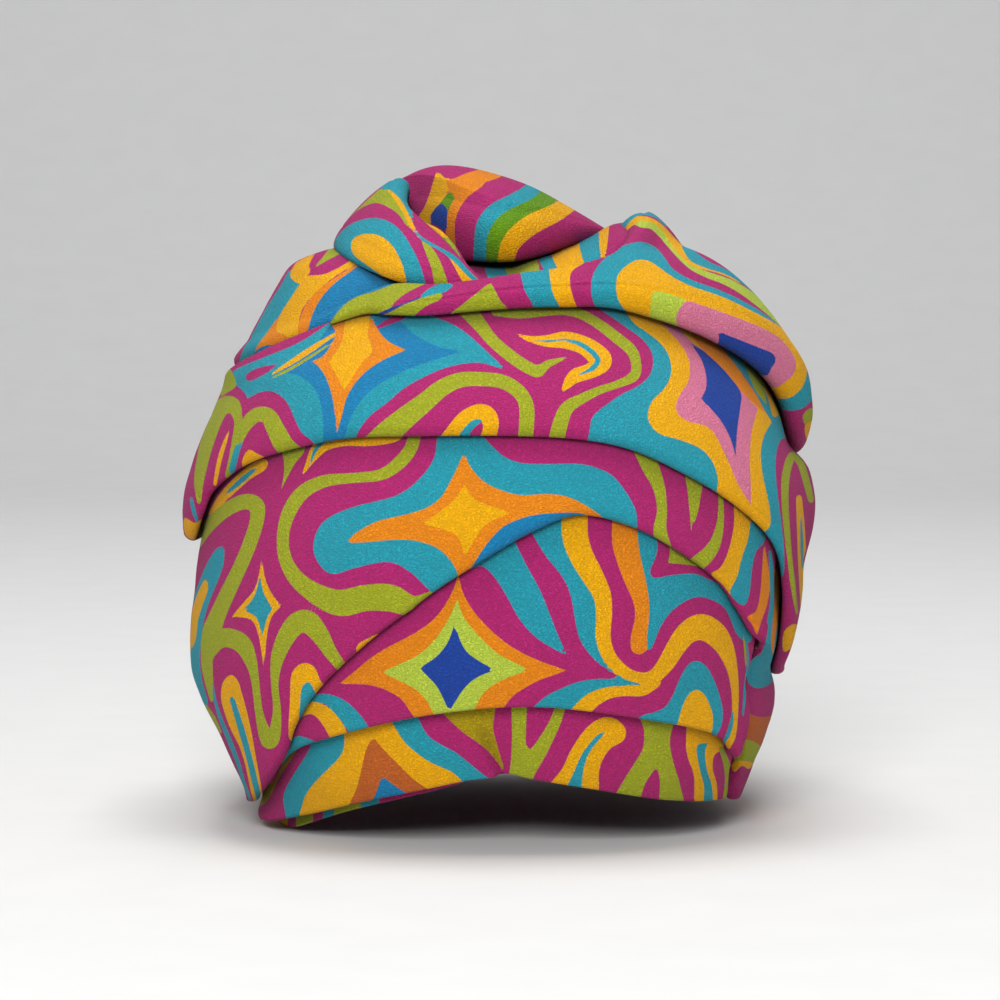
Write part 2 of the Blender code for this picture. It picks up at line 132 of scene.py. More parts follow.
# Band tables: a row for each section across the band, from its lower to its upper edge.
# lift is the offset of the inner face at each edge, thick the wound thickness of the cloth,
# and puff what the outer face swells by.
BROW_BAND = (
    # turn_low, up_low, turn_high, up_high, lift_low, lift_high, thick, puff
    (-80, -22.5, -80, 8, 2.2, 1.4, 3.2, 0.0),
    (-66, -23.8, -66, 11, 2.8, 1.6, 4.9, 0.6),
    (-50, -18.8, -50, 16, 1.6, 1.2, 4.8, 1.0),
    (-34.5, -12.9, -34, 28, 1.0, 1.0, 4.6, 1.2),
    (-20.4, -7.5, -20, 36, 1.0, 1.0, 4.6, 1.2),
    (-8, -2.6, -8, 39, 1.0, 1.0, 4.4, 0.8),
    (-2, -0.6, -3, 40, 1.0, 1.0, 3.2, 0.0),
    (1.7, 0.2, 0, 40, 1.0, 1.0, 3.4, 0.0),
    (6, -1.4, 4, 40, 1.0, 1.0, 4.8, 0.8),
    (18.4, -5.5, 18, 38, 1.0, 1.0, 4.6, 1.2),
    (34, -10.5, 34, 32, 1.0, 1.0, 4.6, 1.0),
    (48, -13.5, 46, 24, 1.0, 1.0, 4.6, 0.6),
    (62, -15.5, 55.5, 8, 1.0, 1.0, 4.4, 0.0),
)
FRONT_CROSS = (
    # turn_low, up_low, turn_high, up_high, lift_low, lift_high, thick, puff
    (-63.5, -7.6, -63.5, 14, 6.6, 6.6, 3.4, 0.0),
    (-59, -6.9, -59, 18, 6.6, 6.6, 4.4, 0.0),
    (-52, 0.7, -52, 24, 6.6, 6.6, 4.6, 0.0),
    (-43.8, 7.8, -44, 33, 6.6, 6.6, 4.6, 0.0),
    (-31.2, 14.4, -31, 48, 6.6, 6.6, 4.6, 0.6),
    (-16.8, 21.1, -16.5, 71, 6.6, 6.6, 4.6, 1.2),
    (-4.5, 24.7, -4.5, 84, 6.6, 6.6, 4.6, 1.4),
    (5.2, 25.5, 5.2, 93, 6.6, 6.6, 4.6, 1.4),
    (13.2, 24.3, 13.2, 97, 6.6, 6.6, 4.6, 1.4),
    (24.5, 20.9, 24.5, 92, 6.6, 6.6, 4.6, 1.2),
    (37.6, 16, 38, 79, 6.6, 6.6, 4.6, 1.0),
    (46, 11, 47, 64, 6.6, 6.6, 4.6, 0.6),
    (53.5, 2.5, 54.5, 48, 6.6, 6.6, 4.4, 0.0),
)
LEFT_WRAP = (
    # turn_low, up_low, turn_high, up_high, lift_low, lift_high, thick, puff
    (-180, -14, -180, 84, 1.0, 1.4, 4.8, 1.0),
    (-150, -14, -150, 86, 1.0, 1.4, 4.8, 1.0),
    (-125, -16, -125, 88, 1.2, 2.4, 4.8, 1.6),
    (-105, -15.5, -105, 91, 1.8, 4.6, 4.8, 3.6),
    (-88, -16, -88, 93, 3.4, 7.4, 4.8, 5.2),
    (-75, -15.5, -74, 96, 6.8, 9.4, 4.8, 4.8),
    (-67, -14.5, -65, 99, 9.6, 10.6, 4.8, 3.6),
    (-60, -10, -59, 102, 12.0, 11.2, 4.8, 2.0),
    (-54.5, -5, -53, 104, 12.0, 11.6, 4.8, 1.6),
    (-45.9, 5.3, -45.5, 108, 12.0, 11.8, 4.8, 1.4),
    (-37.6, 20.1, -37, 112, 12.0, 12.0, 4.8, 1.4),
    (-27.7, 38.5, -27, 115, 12.0, 12.0, 4.8, 1.4),
    (-15.9, 56.3, -15.5, 117, 12.0, 12.0, 4.8, 1.2),
    (-3.7, 69.6, -3.5, 117, 12.0, 12.0, 4.8, 0.8),
    (5.2, 78.3, 5.2, 117, 12.0, 12.0, 4.8, 0.6),
    (13.3, 82.9, 13.3, 116, 12.0, 12.0, 4.8, 0.4),
    (22.5, 79.2, 22.5, 113, 12.0, 12.0, 4.8, 0.4),
    (32, 71, 32, 107, 12.0, 12.0, 4.8, 0.4),
    (42, 60.8, 41, 101, 12.0, 12.0, 4.8, 0.4),
    (49.4, 47.5, 48.5, 94, 12.0, 11.4, 4.8, 0.2),
    (54.5, 42.5, 55, 88, 11.6, 10.2, 4.8, 0.0),
    (57.6, 38.5, 61, 82, 6.6, 8.4, 4.8, 0.2),
    (54.5, 29, 67, 76, 1.6, 6.6, 4.8, 0.6),
    (57.5, 15, 74, 70, 1.2, 5.0, 4.8, 1.0),
    (62.4, 1, 81, 64, 1.0, 3.2, 4.8, 1.4),
    (66.6, -11.5, 88, 58, 1.0, 2.0, 4.8, 1.4),
    (75, -19, 96, 55, 1.0, 1.6, 4.8, 1.4),
    (100, -18, 110, 54, 1.0, 1.4, 4.8, 1.2),
    (135, -15, 140, 64, 1.0, 1.2, 4.8, 1.0),
)
MIDDLE_WRAP = (
    # turn_low, up_low, turn_high, up_high, lift_low, lift_high, thick, puff
    (-180, 56, -180, 114, 7.2, 7.8, 5.0, 1.0),
    (-150, 64, -150, 116, 7.2, 9.4, 5.0, 1.0),
    (-125, 70, -125, 118, 8.8, 11.8, 5.0, 1.4),
    (-105, 69, -105, 120, 11.4, 13.2, 5.0, 1.8),
    (-88, 68.5, -88, 122, 13.6, 14.2, 5.0, 1.8),
    (-74, 71, -74, 125.5, 15.6, 15.2, 5.0, 1.6),
    (-65.5, 77.8, -63, 129, 17.2, 16.2, 5.0, 1.4),
    (-60.5, 86, -54.5, 133, 17.8, 16.8, 5.0, 1.2),
    (-50, 94.7, -46, 139, 18.0, 17.2, 5.0, 1.2),
    (-38, 100.3, -37, 146, 18.0, 17.6, 5.0, 1.2),
    (-26.9, 104, -27, 152, 18.0, 17.8, 5.0, 1.2),
    (-14, 105, -14, 152, 18.0, 17.8, 5.0, 1.0),
    (0, 105.3, 0, 152.5, 18.0, 17.8, 5.0, 1.0),
    (12.7, 104.2, 13, 152.5, 18.0, 17.8, 5.0, 1.0),
    (22.5, 100.7, 23, 151.5, 18.0, 17.4, 5.0, 1.0),
    (32.5, 92.6, 34, 148.5, 18.0, 16.8, 5.0, 1.0),
    (42.7, 82.5, 45, 145, 17.8, 15.8, 5.0, 1.2),
    (50.5, 74, 55, 138, 17.4, 14.8, 5.0, 1.2),
    (57, 65.5, 65, 131, 15.8, 13.6, 5.0, 1.0),
    (63, 57, 74, 124, 12.8, 12.4, 5.0, 1.0),
    (69, 46, 82, 117, 9.8, 11.6, 5.0, 1.0),
    (76, 35, 90, 113, 8.2, 11.2, 5.0, 1.0),
    (87, 25.5, 100, 110, 7.4, 10.8, 5.0, 1.0),
    (103, 23, 114, 109, 7.2, 10.0, 5.0, 1.0),
    (135, 33, 138, 111, 7.2, 8.6, 5.0, 1.0),
)
LEFT_DRAPE = (
    # turn_low, up_low, turn_high, up_high, lift_low, lift_high, thick, puff
    (-146, 121, -146, 148, 6.4, 6.6, 3.0, 0.4),
    (-124, 120.5, -124, 166, 6.4, 7.4, 7.0, 4.0),
    (-102, 121.8, -102, 180, 6.4, 8.0, 11.0, 6.0),
    (-82, 124.8, -82, 185, 6.6, 8.0, 12.5, 7.8),
    (-66, 129.8, -66, 182, 6.8, 8.4, 12.8, 8.4),
    (-52, 136.0, -52, 178, 7.0, 9.0, 12.8, 6.8),
    (-40, 145.2, -40, 174, 7.4, 9.2, 12.2, 3.4),
    (-29, 152.6, -29, 170, 8.0, 8.6, 10.0, 1.6),
    (-19, 155.8, -19, 168, 8.6, 8.6, 6.0, 0.6),
    (-11, 156.0, -11, 163, 9.0, 9.0, 3.4, 0.2),
)
RIGHT_ROLL = (
    # turn_low, up_low, turn_high, up_high, lift_low, lift_high, thick, puff
    (-39, 140.0, -39, 145.5, 22.8, 23.6, 2.2, 0.0),
    (-31, 143.6, -31, 152.5, 23.8, 24.2, 3.4, 0.0),
    (-25, 142.6, -25, 154.0, 24.6, 24.4, 4.6, 0.4),
    (-16, 142.5, -15, 153.8, 24.4, 23.8, 6.0, 0.8),
    (-7, 144, -6, 155.6, 24.4, 22.8, 7.0, 1.0),
    (4, 145.4, 5, 158.5, 24.4, 22.6, 7.6, 1.0),
    (14, 145.6, 16, 161.5, 24.4, 21.6, 8.2, 1.2),
    (24, 145.3, 30, 167, 24.2, 20.6, 9.0, 1.4),
    (34, 141, 45, 177, 23.8, 18.8, 10.4, 2.0),
    (44, 135, 60, 185.5, 23.2, 17.8, 12.2, 3.0),
    (53, 128, 73, 190.5, 22.4, 18.0, 13.6, 3.8),
    (62, 120.5, 85, 191, 21.0, 17.8, 13.6, 3.6),
    (70, 112, 95, 188.5, 19.4, 16.2, 13.6, 3.0),
    (78, 102.5, 104, 185, 16.9, 15.4, 11.2, 2.4),
    (88, 96, 113, 182, 14.8, 15.2, 9.0, 2.0),
    (101, 93.5, 125, 179, 14.6, 14.8, 9.0, 2.0),
    (122, 93.5, 140, 174, 16.6, 14.0, 11.4, 2.2),
    (147, 99, 158, 170, 15.6, 13.6, 12.0, 2.4),
    (174, 103, 178, 167, 14.4, 13.6, 11.0, 2.2),
    (200, 107, 200, 163, 15.8, 15.8, 9.0, 1.6),
    (220, 113, 218, 157, 17.8, 17.8, 6.0, 0.8),
)
FRONT_FOLD = (
    # turn_low, up_low, turn_high, up_high, lift_low, lift_high, thick, puff
    (-4.5, 157.5, -4.5, 162, 20.0, 19.0, 4.0, 0.0),
    (-10.5, 156.4, -9, 166.5, 21.6, 20.0, 6.0, 0.6),
    (-18, 156.2, -13.5, 171, 22.4, 21.4, 8.0, 1.4),
    (-27, 158, -18.5, 176, 23.0, 22.4, 9.6, 2.0),
    (-38, 162.4, -26, 182, 23.6, 23.6, 10.4, 2.2),
    (-52, 168.2, -38, 189, 24.4, 25.6, 10.4, 2.0),
    (-70, 173.6, -60, 198.5, 24.4, 30.2, 9.2, 1.6),
    (-88, 176.0, -84, 203.2, 24.2, 33.0, 8.4, 1.2),
    (-106, 176, -106, 200, 22.0, 28.0, 8.4, 1.2),
    (-124, 173, -124, 189, 19.0, 21.0, 7.6, 1.0),
    (-142, 168, -142, 179, 14.6, 15.6, 6.0, 0.6),
)
KNOT_LIP = (
    # turn_low, up_low, turn_high, up_high, lift_low, lift_high, thick, puff
    (-7.0, 164.2, -6.6, 167.6, 16.0, 15.0, 3.4, 0.0),
    (-12.0, 168.8, -10.8, 173.4, 18.0, 16.6, 4.6, 0.2),
    (-18.0, 174.7, -16.2, 180.6, 20.0, 18.6, 5.4, 0.5),
    (-27.5, 182.6, -26, 189.0, 21.5, 20.0, 5.4, 0.5),
    (-43, 191.8, -43, 197.6, 22.0, 20.5, 4.0, 0.0),
)

# Hood-like bundle on the crown: a row for each section across it, by its place on the
# flattened crown, with x across, and its front and back edges along y
TOP_ROLL = (
    # x_front, y_front, x_back, y_back, lift, thick, puff
    (-35.0, 9, -35.0, 15, 8.0, 10.0, 1.0),
    (-32.6, 5, -32.6, 20, 7.0, 18.5, 3.0),
    (-30.0, 1, -30.0, 25, 6.2, 26.8, 6.4),
    (-27.8, -3, -27.8, 30, 6.2, 26.0, 8.0),
    (-24.0, -9, -24.0, 36, 6.2, 25.0, 10.2),
    (-18.0, -20.0, -17, 48, 6.2, 23.8, 11.9),
    (-10, -31, -9, 55, 7.5, 20.5, 11.5),
    (-1.0, -37.5, 0, 57, 8.8, 18.2, 8.8),
    (9, -33, 9, 54, 8.8, 16.4, 7.1),
    (18, -23, 18, 47, 10.4, 13.6, 4.3),
    (26.5, -13, 26.5, 36, 14.4, 8.2, 2.6),
    (33.0, -4, 33.5, 24, 17.6, 4.8, 0.8),
    (37.6, 2, 37.8, 15, 18.4, 3.6, 0.2),
)

# Hollow of the thick roll: place across it, depth
ROLL_HOLLOW = (
    (0.0, 0.0), (0.1, 0.0), (0.25, 1.2), (0.4, 2.4), (0.52, 3.8), (0.62, 5.4), (0.7, 6.4), (0.78, 3.0),
    (0.85, -0.8), (0.92, -1.6), (1.0, 0.0),
)
HOLLOW_BLUR = 0.05

# Climb of the crown wrap between the bundle and the roll: place across the crown, height
VALLEY_CLIMB = (
    (4.0, 0.0), (10.0, 2.6), (18.0, 4.4), (26.0, 8.4), (32.0, 13.4), (37.0, 19.2), (42.0, 22.6),
    (47.0, 19.0), (54.0, 8.0), (60.0, 0.0),
)

# Pinched fold in the brow band: its line, as turns at heights, and its depth and half width
PINCH_UPS, PINCH_TURNS = (-4.0, 18.0), (0.9, -3.8)
PINCH_DEPTH, PINCH_HALF_WIDTH = 1.9, 1.3
PINCH_SWELLING = 1.3
FRONT_MM_PER_DEGREE = 1.9

# Swelling of the middle wrap under the roll
WRAP_SWELLING = 4.2

# Bundle on the crown: spacing of its table's rows, its girth, and how its ends are rounded
BUNDLE_ROW_GAP = 8.5
BUNDLE_GIRTH = 105
BUNDLE_ENDS = (0.25, 0.5, 0.75)
BUNDLE_END_GAP = 0.02
BUNDLE_SMOOTHING = 12

# How far the sides stand out past the chart: height, left side, right side
SIDE_TRIM = (
    (-31, 4.6, 0.0), (-26, 4.2, 0.0), (-22, 1.2, 0.0), (-17.5, -1.8, 0.0), (-12, -2.9, -0.4),
    (-6.5, -2.9, -1.0), (-1, -2.6, 0.0), (4.4, -2.5, 0.2), (10, -1.5, 0.6), (15.4, 0.0, 0.2),
    (21, 0.7, -1.0), (26.4, 1.8, -3.8), (32, 1.5, -3.0), (37.4, 1.1, -2.2), (48, 0.7, -1.5),
    (54, 0.0, -1.5), (65, 0.0, -1.7), (76, 0.0, -0.4), (92, 0.6, 0.4), (98, -0.3, 0.4),
    (110, -0.2, -0.6), (120, 0.6, 0.6), (126, 0.8, 0.8), (131, 1.6, 0.9), (136, 4.2, 1.0),
    (142, 4.4, 0.8), (147, 3.7, 0.0), (153, 2.2, 0.0), (158, 1.1, 0.0), (164, 0.8, 0.0),
    (169, 1.6, 0.0), (175, 4.2, 0.0), (181, 2.0, 0.0), (186, 0.0, 0.0),
)
TRIM_BLUR = 3.0
TRIM_START, TRIM_FULL = 42.0, 80.0

# Camera: the photograph's view
TARGET = np.array([-0.37, 0.0, 86.8])
CAMERA_DISTANCE = 1600.0
CAMERA_ELEVATION = np.radians(4.0)
SENSOR_WIDTH = 36.0

# Print sheet: so many units across and down, laid square to the view through the target
SHEET_UNIT = 0.366
SHEET_SIZE = 1000.0
SHEET_MIDDLE = SHEET_SIZE / 2
SHEET_REACH = CAMERA_DISTANCE / SHEET_UNIT
SHAPE_MARGIN = 26.0
CURVE_STEPS = 5

# Colours of the print, as linear red, green and blue. The olive is yellow darkened as painted shade, for
# yellow and lime that lie in shade
COLOUR_COUNT = 12
(MAGENTA, LIME, TEAL, YELLOW, ORANGE, MID_BLUE,
 ROYAL, PINK, GREEN, PALE_LIME, RUST, PAINTED_SHADE_OLIVE) = range(COLOUR_COUNT)
COLOURS = {
    MAGENTA: (0.425, 0.017, 0.150),
    LIME: (0.350, 0.385, 0.016),
    TEAL: (0.018, 0.310, 0.400),
    YELLOW: (0.830, 0.400, 0.001),
    ORANGE: (0.780, 0.235, 0.006),
    MID_BLUE: (0.008, 0.205, 0.430),
    ROYAL: (0.012, 0.055, 0.330),
    PINK: (0.690, 0.185, 0.310),
    GREEN: (0.120, 0.290, 0.004),
    PALE_LIME: (0.450, 0.570, 0.055),
    RUST: (0.530, 0.120, 0.018),
    PAINTED_SHADE_OLIVE: (0.400, 0.290, 0.004),
}
LINING_COLOURS = ((0.20, 0.012, 0.075), (0.30, 0.022, 0.115), (0.16, 0.010, 0.060))
PRINT_SHARPNESS = 2.0
FAR = 30.0
PRINT_LAYERS = ("print_a", "print_b", "print_c", "print_d")

# Crepe: its grain, and how far the grain and a broader unevenness lighten the colour. The grain's share is
# painted shade: the colour is darker in the hollows of the grain
GRAIN_SCALE = 1450.0
GRAIN_STRETCH, GRAIN_TURN, GRAIN_DISTORTION = (1.0, 1.0, 1.35), (0.0, 0.5, 0.4), 0.7
GRAIN_LEVELS = (0.34, 0.66)
GRAIN_HEIGHT = 0.0005
BROAD_SCALE = 95.0
SHADE_BASE, PAINTED_GRAIN_SHADE, SHADE_BROAD = 0.86, 0.22, 0.10

# How far the cloth still faces the front where the drawn print starts to show, and shows fully
SIDE_FADE = (-0.06, 0.06)
CROWN_FADE = (-0.22, -0.05)
CROWN_PIECES = ("right_roll", "front_fold", "knot_lip", "top_roll", "crown_wrap")

# Painted shade in the creases: how far a fold darkens the colour of the cloth beside it in metres, and how
# much
CREASE_LAYER = "crease_shade"
CREASE_REACH = 0.015
CREASE_START = 0.0004
CREASE_RAYS = 14
CREASE_DEPTH = 0.7
CREASE_BLURS = 2
UPRIGHT = 0.9
TINY = 1e-12

# Print round the sides and the back: stars on a loose grid, with outlines that run together.
# Each outline is the distance where it ends and its colour.
STAR_SEED = 11
STARS_ROUND = 11
STAR_ROWS = range(-1, 6)
STAR_STEP_UP = 58.0
STAR_SHIFT_ROUND, STAR_SHIFT_UP = 0.2, 10
STAR_STRETCH = (0.75, 1.3)
STAR_PINCH, STAR_ROUNDING, STAR_RADIUS = 0.62, 1.1, 34.0
STAR_HEART, STAR_HEART_RADIUS = 0.3, 12
STAR_MERGE = 4.0
STAR_CORES = (
    ((3.4, YELLOW), (8.0, ORANGE)),
    ((3.4, ROYAL), (7.0, LIME)),
    ((3.0, TEAL), (7.0, YELLOW)),
)
OUTLINES = (
    (8.0, ORANGE), (13.0, TEAL), (19.5, MAGENTA), (23.5, LIME), (31.0, MAGENTA), (36.0, YELLOW),
    (200.0, TEAL),
)
BROAD_BEND, FINE_BEND = 7.0, 4.0

# Studio floor, backdrop and lights, in metres
FLOOR_GAP = 0.0003
FLOOR_REACH = 5.0
FLOOR_FRONT = -4.5
SWEEP_START = 1.7
SWEEP_RADIUS = 1.6
SWEEP_TOP = 4.0
SWEEP_STEPS = 25
FLOOR_LIGHT, FLOOR_DARK, FLOOR_GRAIN = (0.80, 0.80, 0.79), (0.76, 0.76, 0.75), 30.0
LIGHTS = (
    # name, location, aim, size, watts
    ("key", (-0.20, -2.3, 1.15), (0.0, 0.0, 0.08), 0.8, 49.0),
    ("top", (0.0, -0.1, 1.8), (0.0, 0.0, 0.1), 1.0, 21.0),
    ("backdrop", (0.0, 1.0, 2.2), (0.0, 3.2, 0.9), 1.5, 14.0),
)
WORLD_COLOUR, WORLD_STRENGTH = (0.95, 0.97, 1.0, 1.0), 0.25


def smooth_step(value, start, full):
    """Smooth rise from 0 at start to 1 at full."""
    part = np.clip((value - start) / (full - start), 0.0, 1.0)
    return part * part * (3 - 2 * part)


def window(value, start, full, fade, end):
    """Smooth rise from 0 at start to 1 at full, and back from fade to 0 at end."""
    return smooth_step(value, start, full) * smooth_step(value, end, fade)


def blurred(table, column, value, blur, samples=7, period=None):
    """A table's column at these values of its first column, averaged over a blur to both sides."""
    known, wanted = (np.array(table, float)[:, k] for k in (0, column))
    shifts = np.linspace(-blur, blur, samples)
    return np.mean([np.interp(value + shift, known, wanted, period=period) for shift in shifts], axis=0)


def base_ring(up):
    """How far out and how high the base body's ring at this height lies."""
    above = np.clip((up - WIDEST_UP) / DOME_LENGTH, 0.0, np.pi / 2)
    below = np.minimum(up - WIDEST_UP, 0.0) / TAPER_DEPTH
    out = np.where(up > WIDEST_UP, np.cos(above), 1.0 - HEM_TAPER * below ** 2)
    dome = WIDEST_UP + (CROWN_HEIGHT - WIDEST_UP) * np.sin(above) ** DOME_POWER
    return out, np.where(up > WIDEST_UP, dome, up)


def base_point(turn, up):
    """Points of the base body, in millimetres."""
    angle = np.radians(turn)
    out, height = base_ring(up)
    across = HALF_WIDTH * out * (np.sin(angle) + SQUARENESS * np.sin(3 * angle))
    along = HALF_DEPTH * out * (np.cos(angle) - SQUARENESS * np.cos(3 * angle))
    scale = 1.0 - SQUARENESS
    return np.stack([across / scale, CENTRE_BACK - along / scale, height], axis=-1)


def base_normal(turn, up):
    """Directions square out of the base body."""
    up = np.minimum(up, APEX_UP - 10 * UP_STEP)
    round_way = base_point(turn + TURN_STEP, up) - base_point(turn - TURN_STEP, up)
    up_way = base_point(turn, up + UP_STEP) - base_point(turn, up - UP_STEP)
    normal = np.cross(round_way, up_way)
    return normal / np.linalg.norm(normal, axis=-1, keepdims=True)


def place(turn, up, offset):
    """Points at an offset out of the base body, in millimetres."""
    turn, up, offset = np.broadcast_arrays(*(np.asarray(v, float) for v in (turn, up, offset)))
    return base_point(turn, up) + base_normal(turn, up) * offset[..., None]


def trim_sides(points):
    """Move the sides of the wrap in or out a little by their height."""
    across, height = points[..., 0], points[..., 2]
    left, right = (blurred(SIDE_TRIM, column, height, TRIM_BLUR) for column in (1, 2))
    moved = points.copy()
    moved[..., 0] += np.where(across < 0, -left, right) * smooth_step(np.abs(across), TRIM_START, TRIM_FULL)
    return moved


def catmull_rom(p0, p1, p2, p3, t):
    """Point at part t of the smooth curve from p1 to p2."""
    return 0.5 * (2 * p1 + (p2 - p0) * t + (2 * p0 - 5 * p1 + 4 * p2 - p3) * t ** 2
                  + (3 * p1 - p0 - 3 * p2 + p3) * t ** 3)


def with_ends(rows):
    """Rows with one more beyond each end, in line with the two next to it."""
    return np.vstack([2 * rows[0] - rows[1], rows, 2 * rows[-1] - rows[-2]])


def even_curve(rows, cuts):
    """Smooth curve through open rows, with so many steps from each row to the next."""
    rows = np.array(rows, float)
    padded = with_ends(rows)
    fine = []
    for p0, p1, p2, p3 in zip(padded, padded[1:], padded[2:], padded[3:]):
        fine += [catmull_rom(p0, p1, p2, p3, cut / cuts) for cut in range(cuts)]
    return fine + [rows[-1]]


def edge_distance(first, second, turn, up):
    """Distance between the same edge of two rows, half way out through the cloth."""
    return np.linalg.norm(place(first[turn], first[up], MIDDLE_OFFSET)
                          - place(second[turn], second[up], MIDDLE_OFFSET))


def smooth_rows(rows, closed, step):
    """Smooth curve through table rows, with a station about every step."""
    rows = np.array(rows, float)
    if closed:
        full_turn = np.zeros(rows.shape[1])
        full_turn[[TURN_LOW, TURN_HIGH]] = 360.0
        padded = np.vstack([rows[-1] - full_turn, rows, rows[:2] + full_turn])
    else:
        padded = with_ends(rows)
    stations = []
    for p0, p1, p2, p3 in zip(padded, padded[1:], padded[2:], padded[3:]):
        low = edge_distance(p1, p2, TURN_LOW, UP_LOW)
        high = edge_distance(p1, p2, TURN_HIGH, UP_HIGH)
        cuts = max(1, int(np.ceil(max(low, high) / step)))
        stations += [catmull_rom(p0, p1, p2, p3, cut / cuts) for cut in range(cuts)]
    if not closed:
        stations.append(rows[-1])
    return np.array(stations)


def fine_section(width, thick, puff, puff_span, outer_cuts, inner_cuts, taper):
    """Closed section of a folded band: place across it (0 to 1), height over its inner face,
    and 1 where a point is on the outer face. taper is how thick its lower edge stays."""
    edge = min(thick / 2, WIDEST_EDGE * width)
    start, end = puff_span
    half_turn = np.linspace(-np.pi / 2, np.pi / 2, 2 * ROUND_STEPS + 1)
    edge_across = edge * (1 - np.cos(half_turn)) / width
    edge_height = thick * ((1 + np.sin(half_turn)) / 2) ** EDGE_DROOP
    outer = np.linspace(edge / width, 1 - edge / width, outer_cuts + 1)[1:-1]
    swell = np.clip((outer - start) / (end - start), 0.0, 1.0)
    soft = np.clip(np.minimum(outer, 1 - outer) * width / SOFT_EDGE, 0.0, 1.0)
    outer_height = thick + puff * np.sin(np.pi * swell) * (PUFF_AT_EDGE + (1 - PUFF_AT_EDGE) * soft)
    inner = np.linspace(1 - edge / width, edge / width, inner_cuts + 1)[1:-1]
    across = np.concatenate([edge_across, outer, 1 - edge_across[::-1], inner])
    height = np.concatenate([edge_height, outer_height, edge_height[::-1], np.zeros(len(inner))])
    height = height * (taper + (1.0 - taper) * across)
    upper = half_turn > 0
    outside = np.concatenate([upper, np.ones(len(outer)), upper[::-1], np.zeros(len(inner))])
    return across, height, outside


def shrink_section(across, height, thick, factor, width):
    """The same section drawn in towards its middle, for a rounded free end."""
    inset = min(thick / 2 * (1 - factor) / width, WIDEST_EDGE)
    return inset + across * (1 - 2 * inset), thick / 2 + (height - thick / 2) * factor


def end_stations(stations):
    """Add rounding stations at both free ends, each with its shrink factor."""
    rounded = []
    for end, following in ((0, 1), (-1, -2)):
        first = stations[end]
        reach = first[THICK] / 2
        gap = edge_distance(first, stations[following], TURN_LOW, UP_LOW)
        direction = (stations[following] - first) / gap
        rounded.append([(first + direction * reach * (1 - np.cos(a)), np.sin(a)) for a in END_ANGLES])
        reach_count = int(np.ceil(reach / gap))
        if end == 0:
            stations = stations[max(1, reach_count):]
            stations = np.vstack([first, stations])
        else:
            stations = stations[:-max(1, reach_count)]
    middle = [(row, 1.0) for row in stations[1:]]
    return rounded[0] + middle + rounded[1][::-1]


def soft_dents(turn, up, seed):
    """Depth of gentle dents over the chart, between 0 and 1, where several waves meet."""
    rng = np.random.default_rng(seed)
    s, t = np.radians(turn) * WAVE_RADIUS, up
    total = np.zeros(np.broadcast(s, t).shape)
    for _ in range(WAVE_COUNT):
        direction = rng.uniform(0, np.pi)
        length = rng.uniform(*WAVE_LENGTHS)
        phase = rng.uniform(0, 2 * np.pi)
        total += np.sin((s * np.cos(direction) + t * np.sin(direction)) * 2 * np.pi / length + phase)
    return np.clip(total / WAVE_COUNT - DENT_LEVEL, 0.0, 1.0)


def build_mesh(name, points, closed):
    """One closed mesh through rings of points, in millimetres."""
    rings, count = points.shape[:2]
    index = np.arange(rings * count).reshape(rings, count)
    following = np.roll(index, -1, axis=1)
    last = rings if closed else rings - 1
    near = np.arange(last)
    far = (near + 1) % rings
    quads = np.stack([index[near], index[far], following[far], following[near]], axis=-1).reshape(-1, 4)
    verts = points.reshape(-1, 3)
    triangles = np.zeros((0, 3), int)
    if not closed:
        first_middle = len(verts)
        verts = np.vstack([verts, points[0].mean(0), points[-1].mean(0)])
        start = np.stack([index[0], following[0], np.full(count, first_middle)], axis=-1)
        end = np.stack([following[-1], index[-1], np.full(count, first_middle + 1)], axis=-1)
        triangles = np.vstack([start, end])
    halves = np.vstack([quads[:, [0, 1, 2]], quads[:, [0, 2, 3]], triangles])
    a, b, c = (verts[halves[:, k]] for k in range(3))
    if np.einsum("ij,ij->i", a, np.cross(b, c)).sum() < 0:
        quads = quads[:, ::-1]
        triangles = triangles[:, ::-1]
    mesh = bpy.data.meshes.new(name)
    mesh.from_pydata((verts * MM).tolist(), [], quads.tolist() + triangles.tolist())
    mesh.shade_smooth()
    return mesh


def vertex_arrays(mesh):
    """Places in millimetres and normals of all vertices."""
    count = len(mesh.vertices)
    points = np.zeros(count * 3)
    normals = np.zeros(count * 3)
    mesh.vertices.foreach_get("co", points)
    mesh.vertices.foreach_get("normal", normals)
    return points.reshape(-1, 3) / MM, normals.reshape(-1, 3)


def view_axes():
    """Camera place and the right, up and forward directions of its view."""
    back = np.array([0.0, -np.cos(CAMERA_ELEVATION), np.sin(CAMERA_ELEVATION)])
    right = np.array([1.0, 0.0, 0.0])
    return TARGET + back * CAMERA_DISTANCE, right, np.cross(right, -back), -back


def on_sheet(points):
    """Places on the print sheet that lie over these points in the front view."""
    camera, right, up, forward = view_axes()
    from_camera = points - camera
    depth = from_camera @ forward
    return (SHEET_MIDDLE + SHEET_REACH * (from_camera @ right) / depth,
            SHEET_MIDDLE - SHEET_REACH * (from_camera @ up) / depth)


def paint(fields, inside, colour):
    """Lay one shape over what is painted. fields holds how far each point is inside each colour."""
    for other in range(len(fields)):
        if other == colour:
            fields[other] = np.maximum(fields[other], inside)
        else:
            fields[other] = np.minimum(fields[other], -inside)


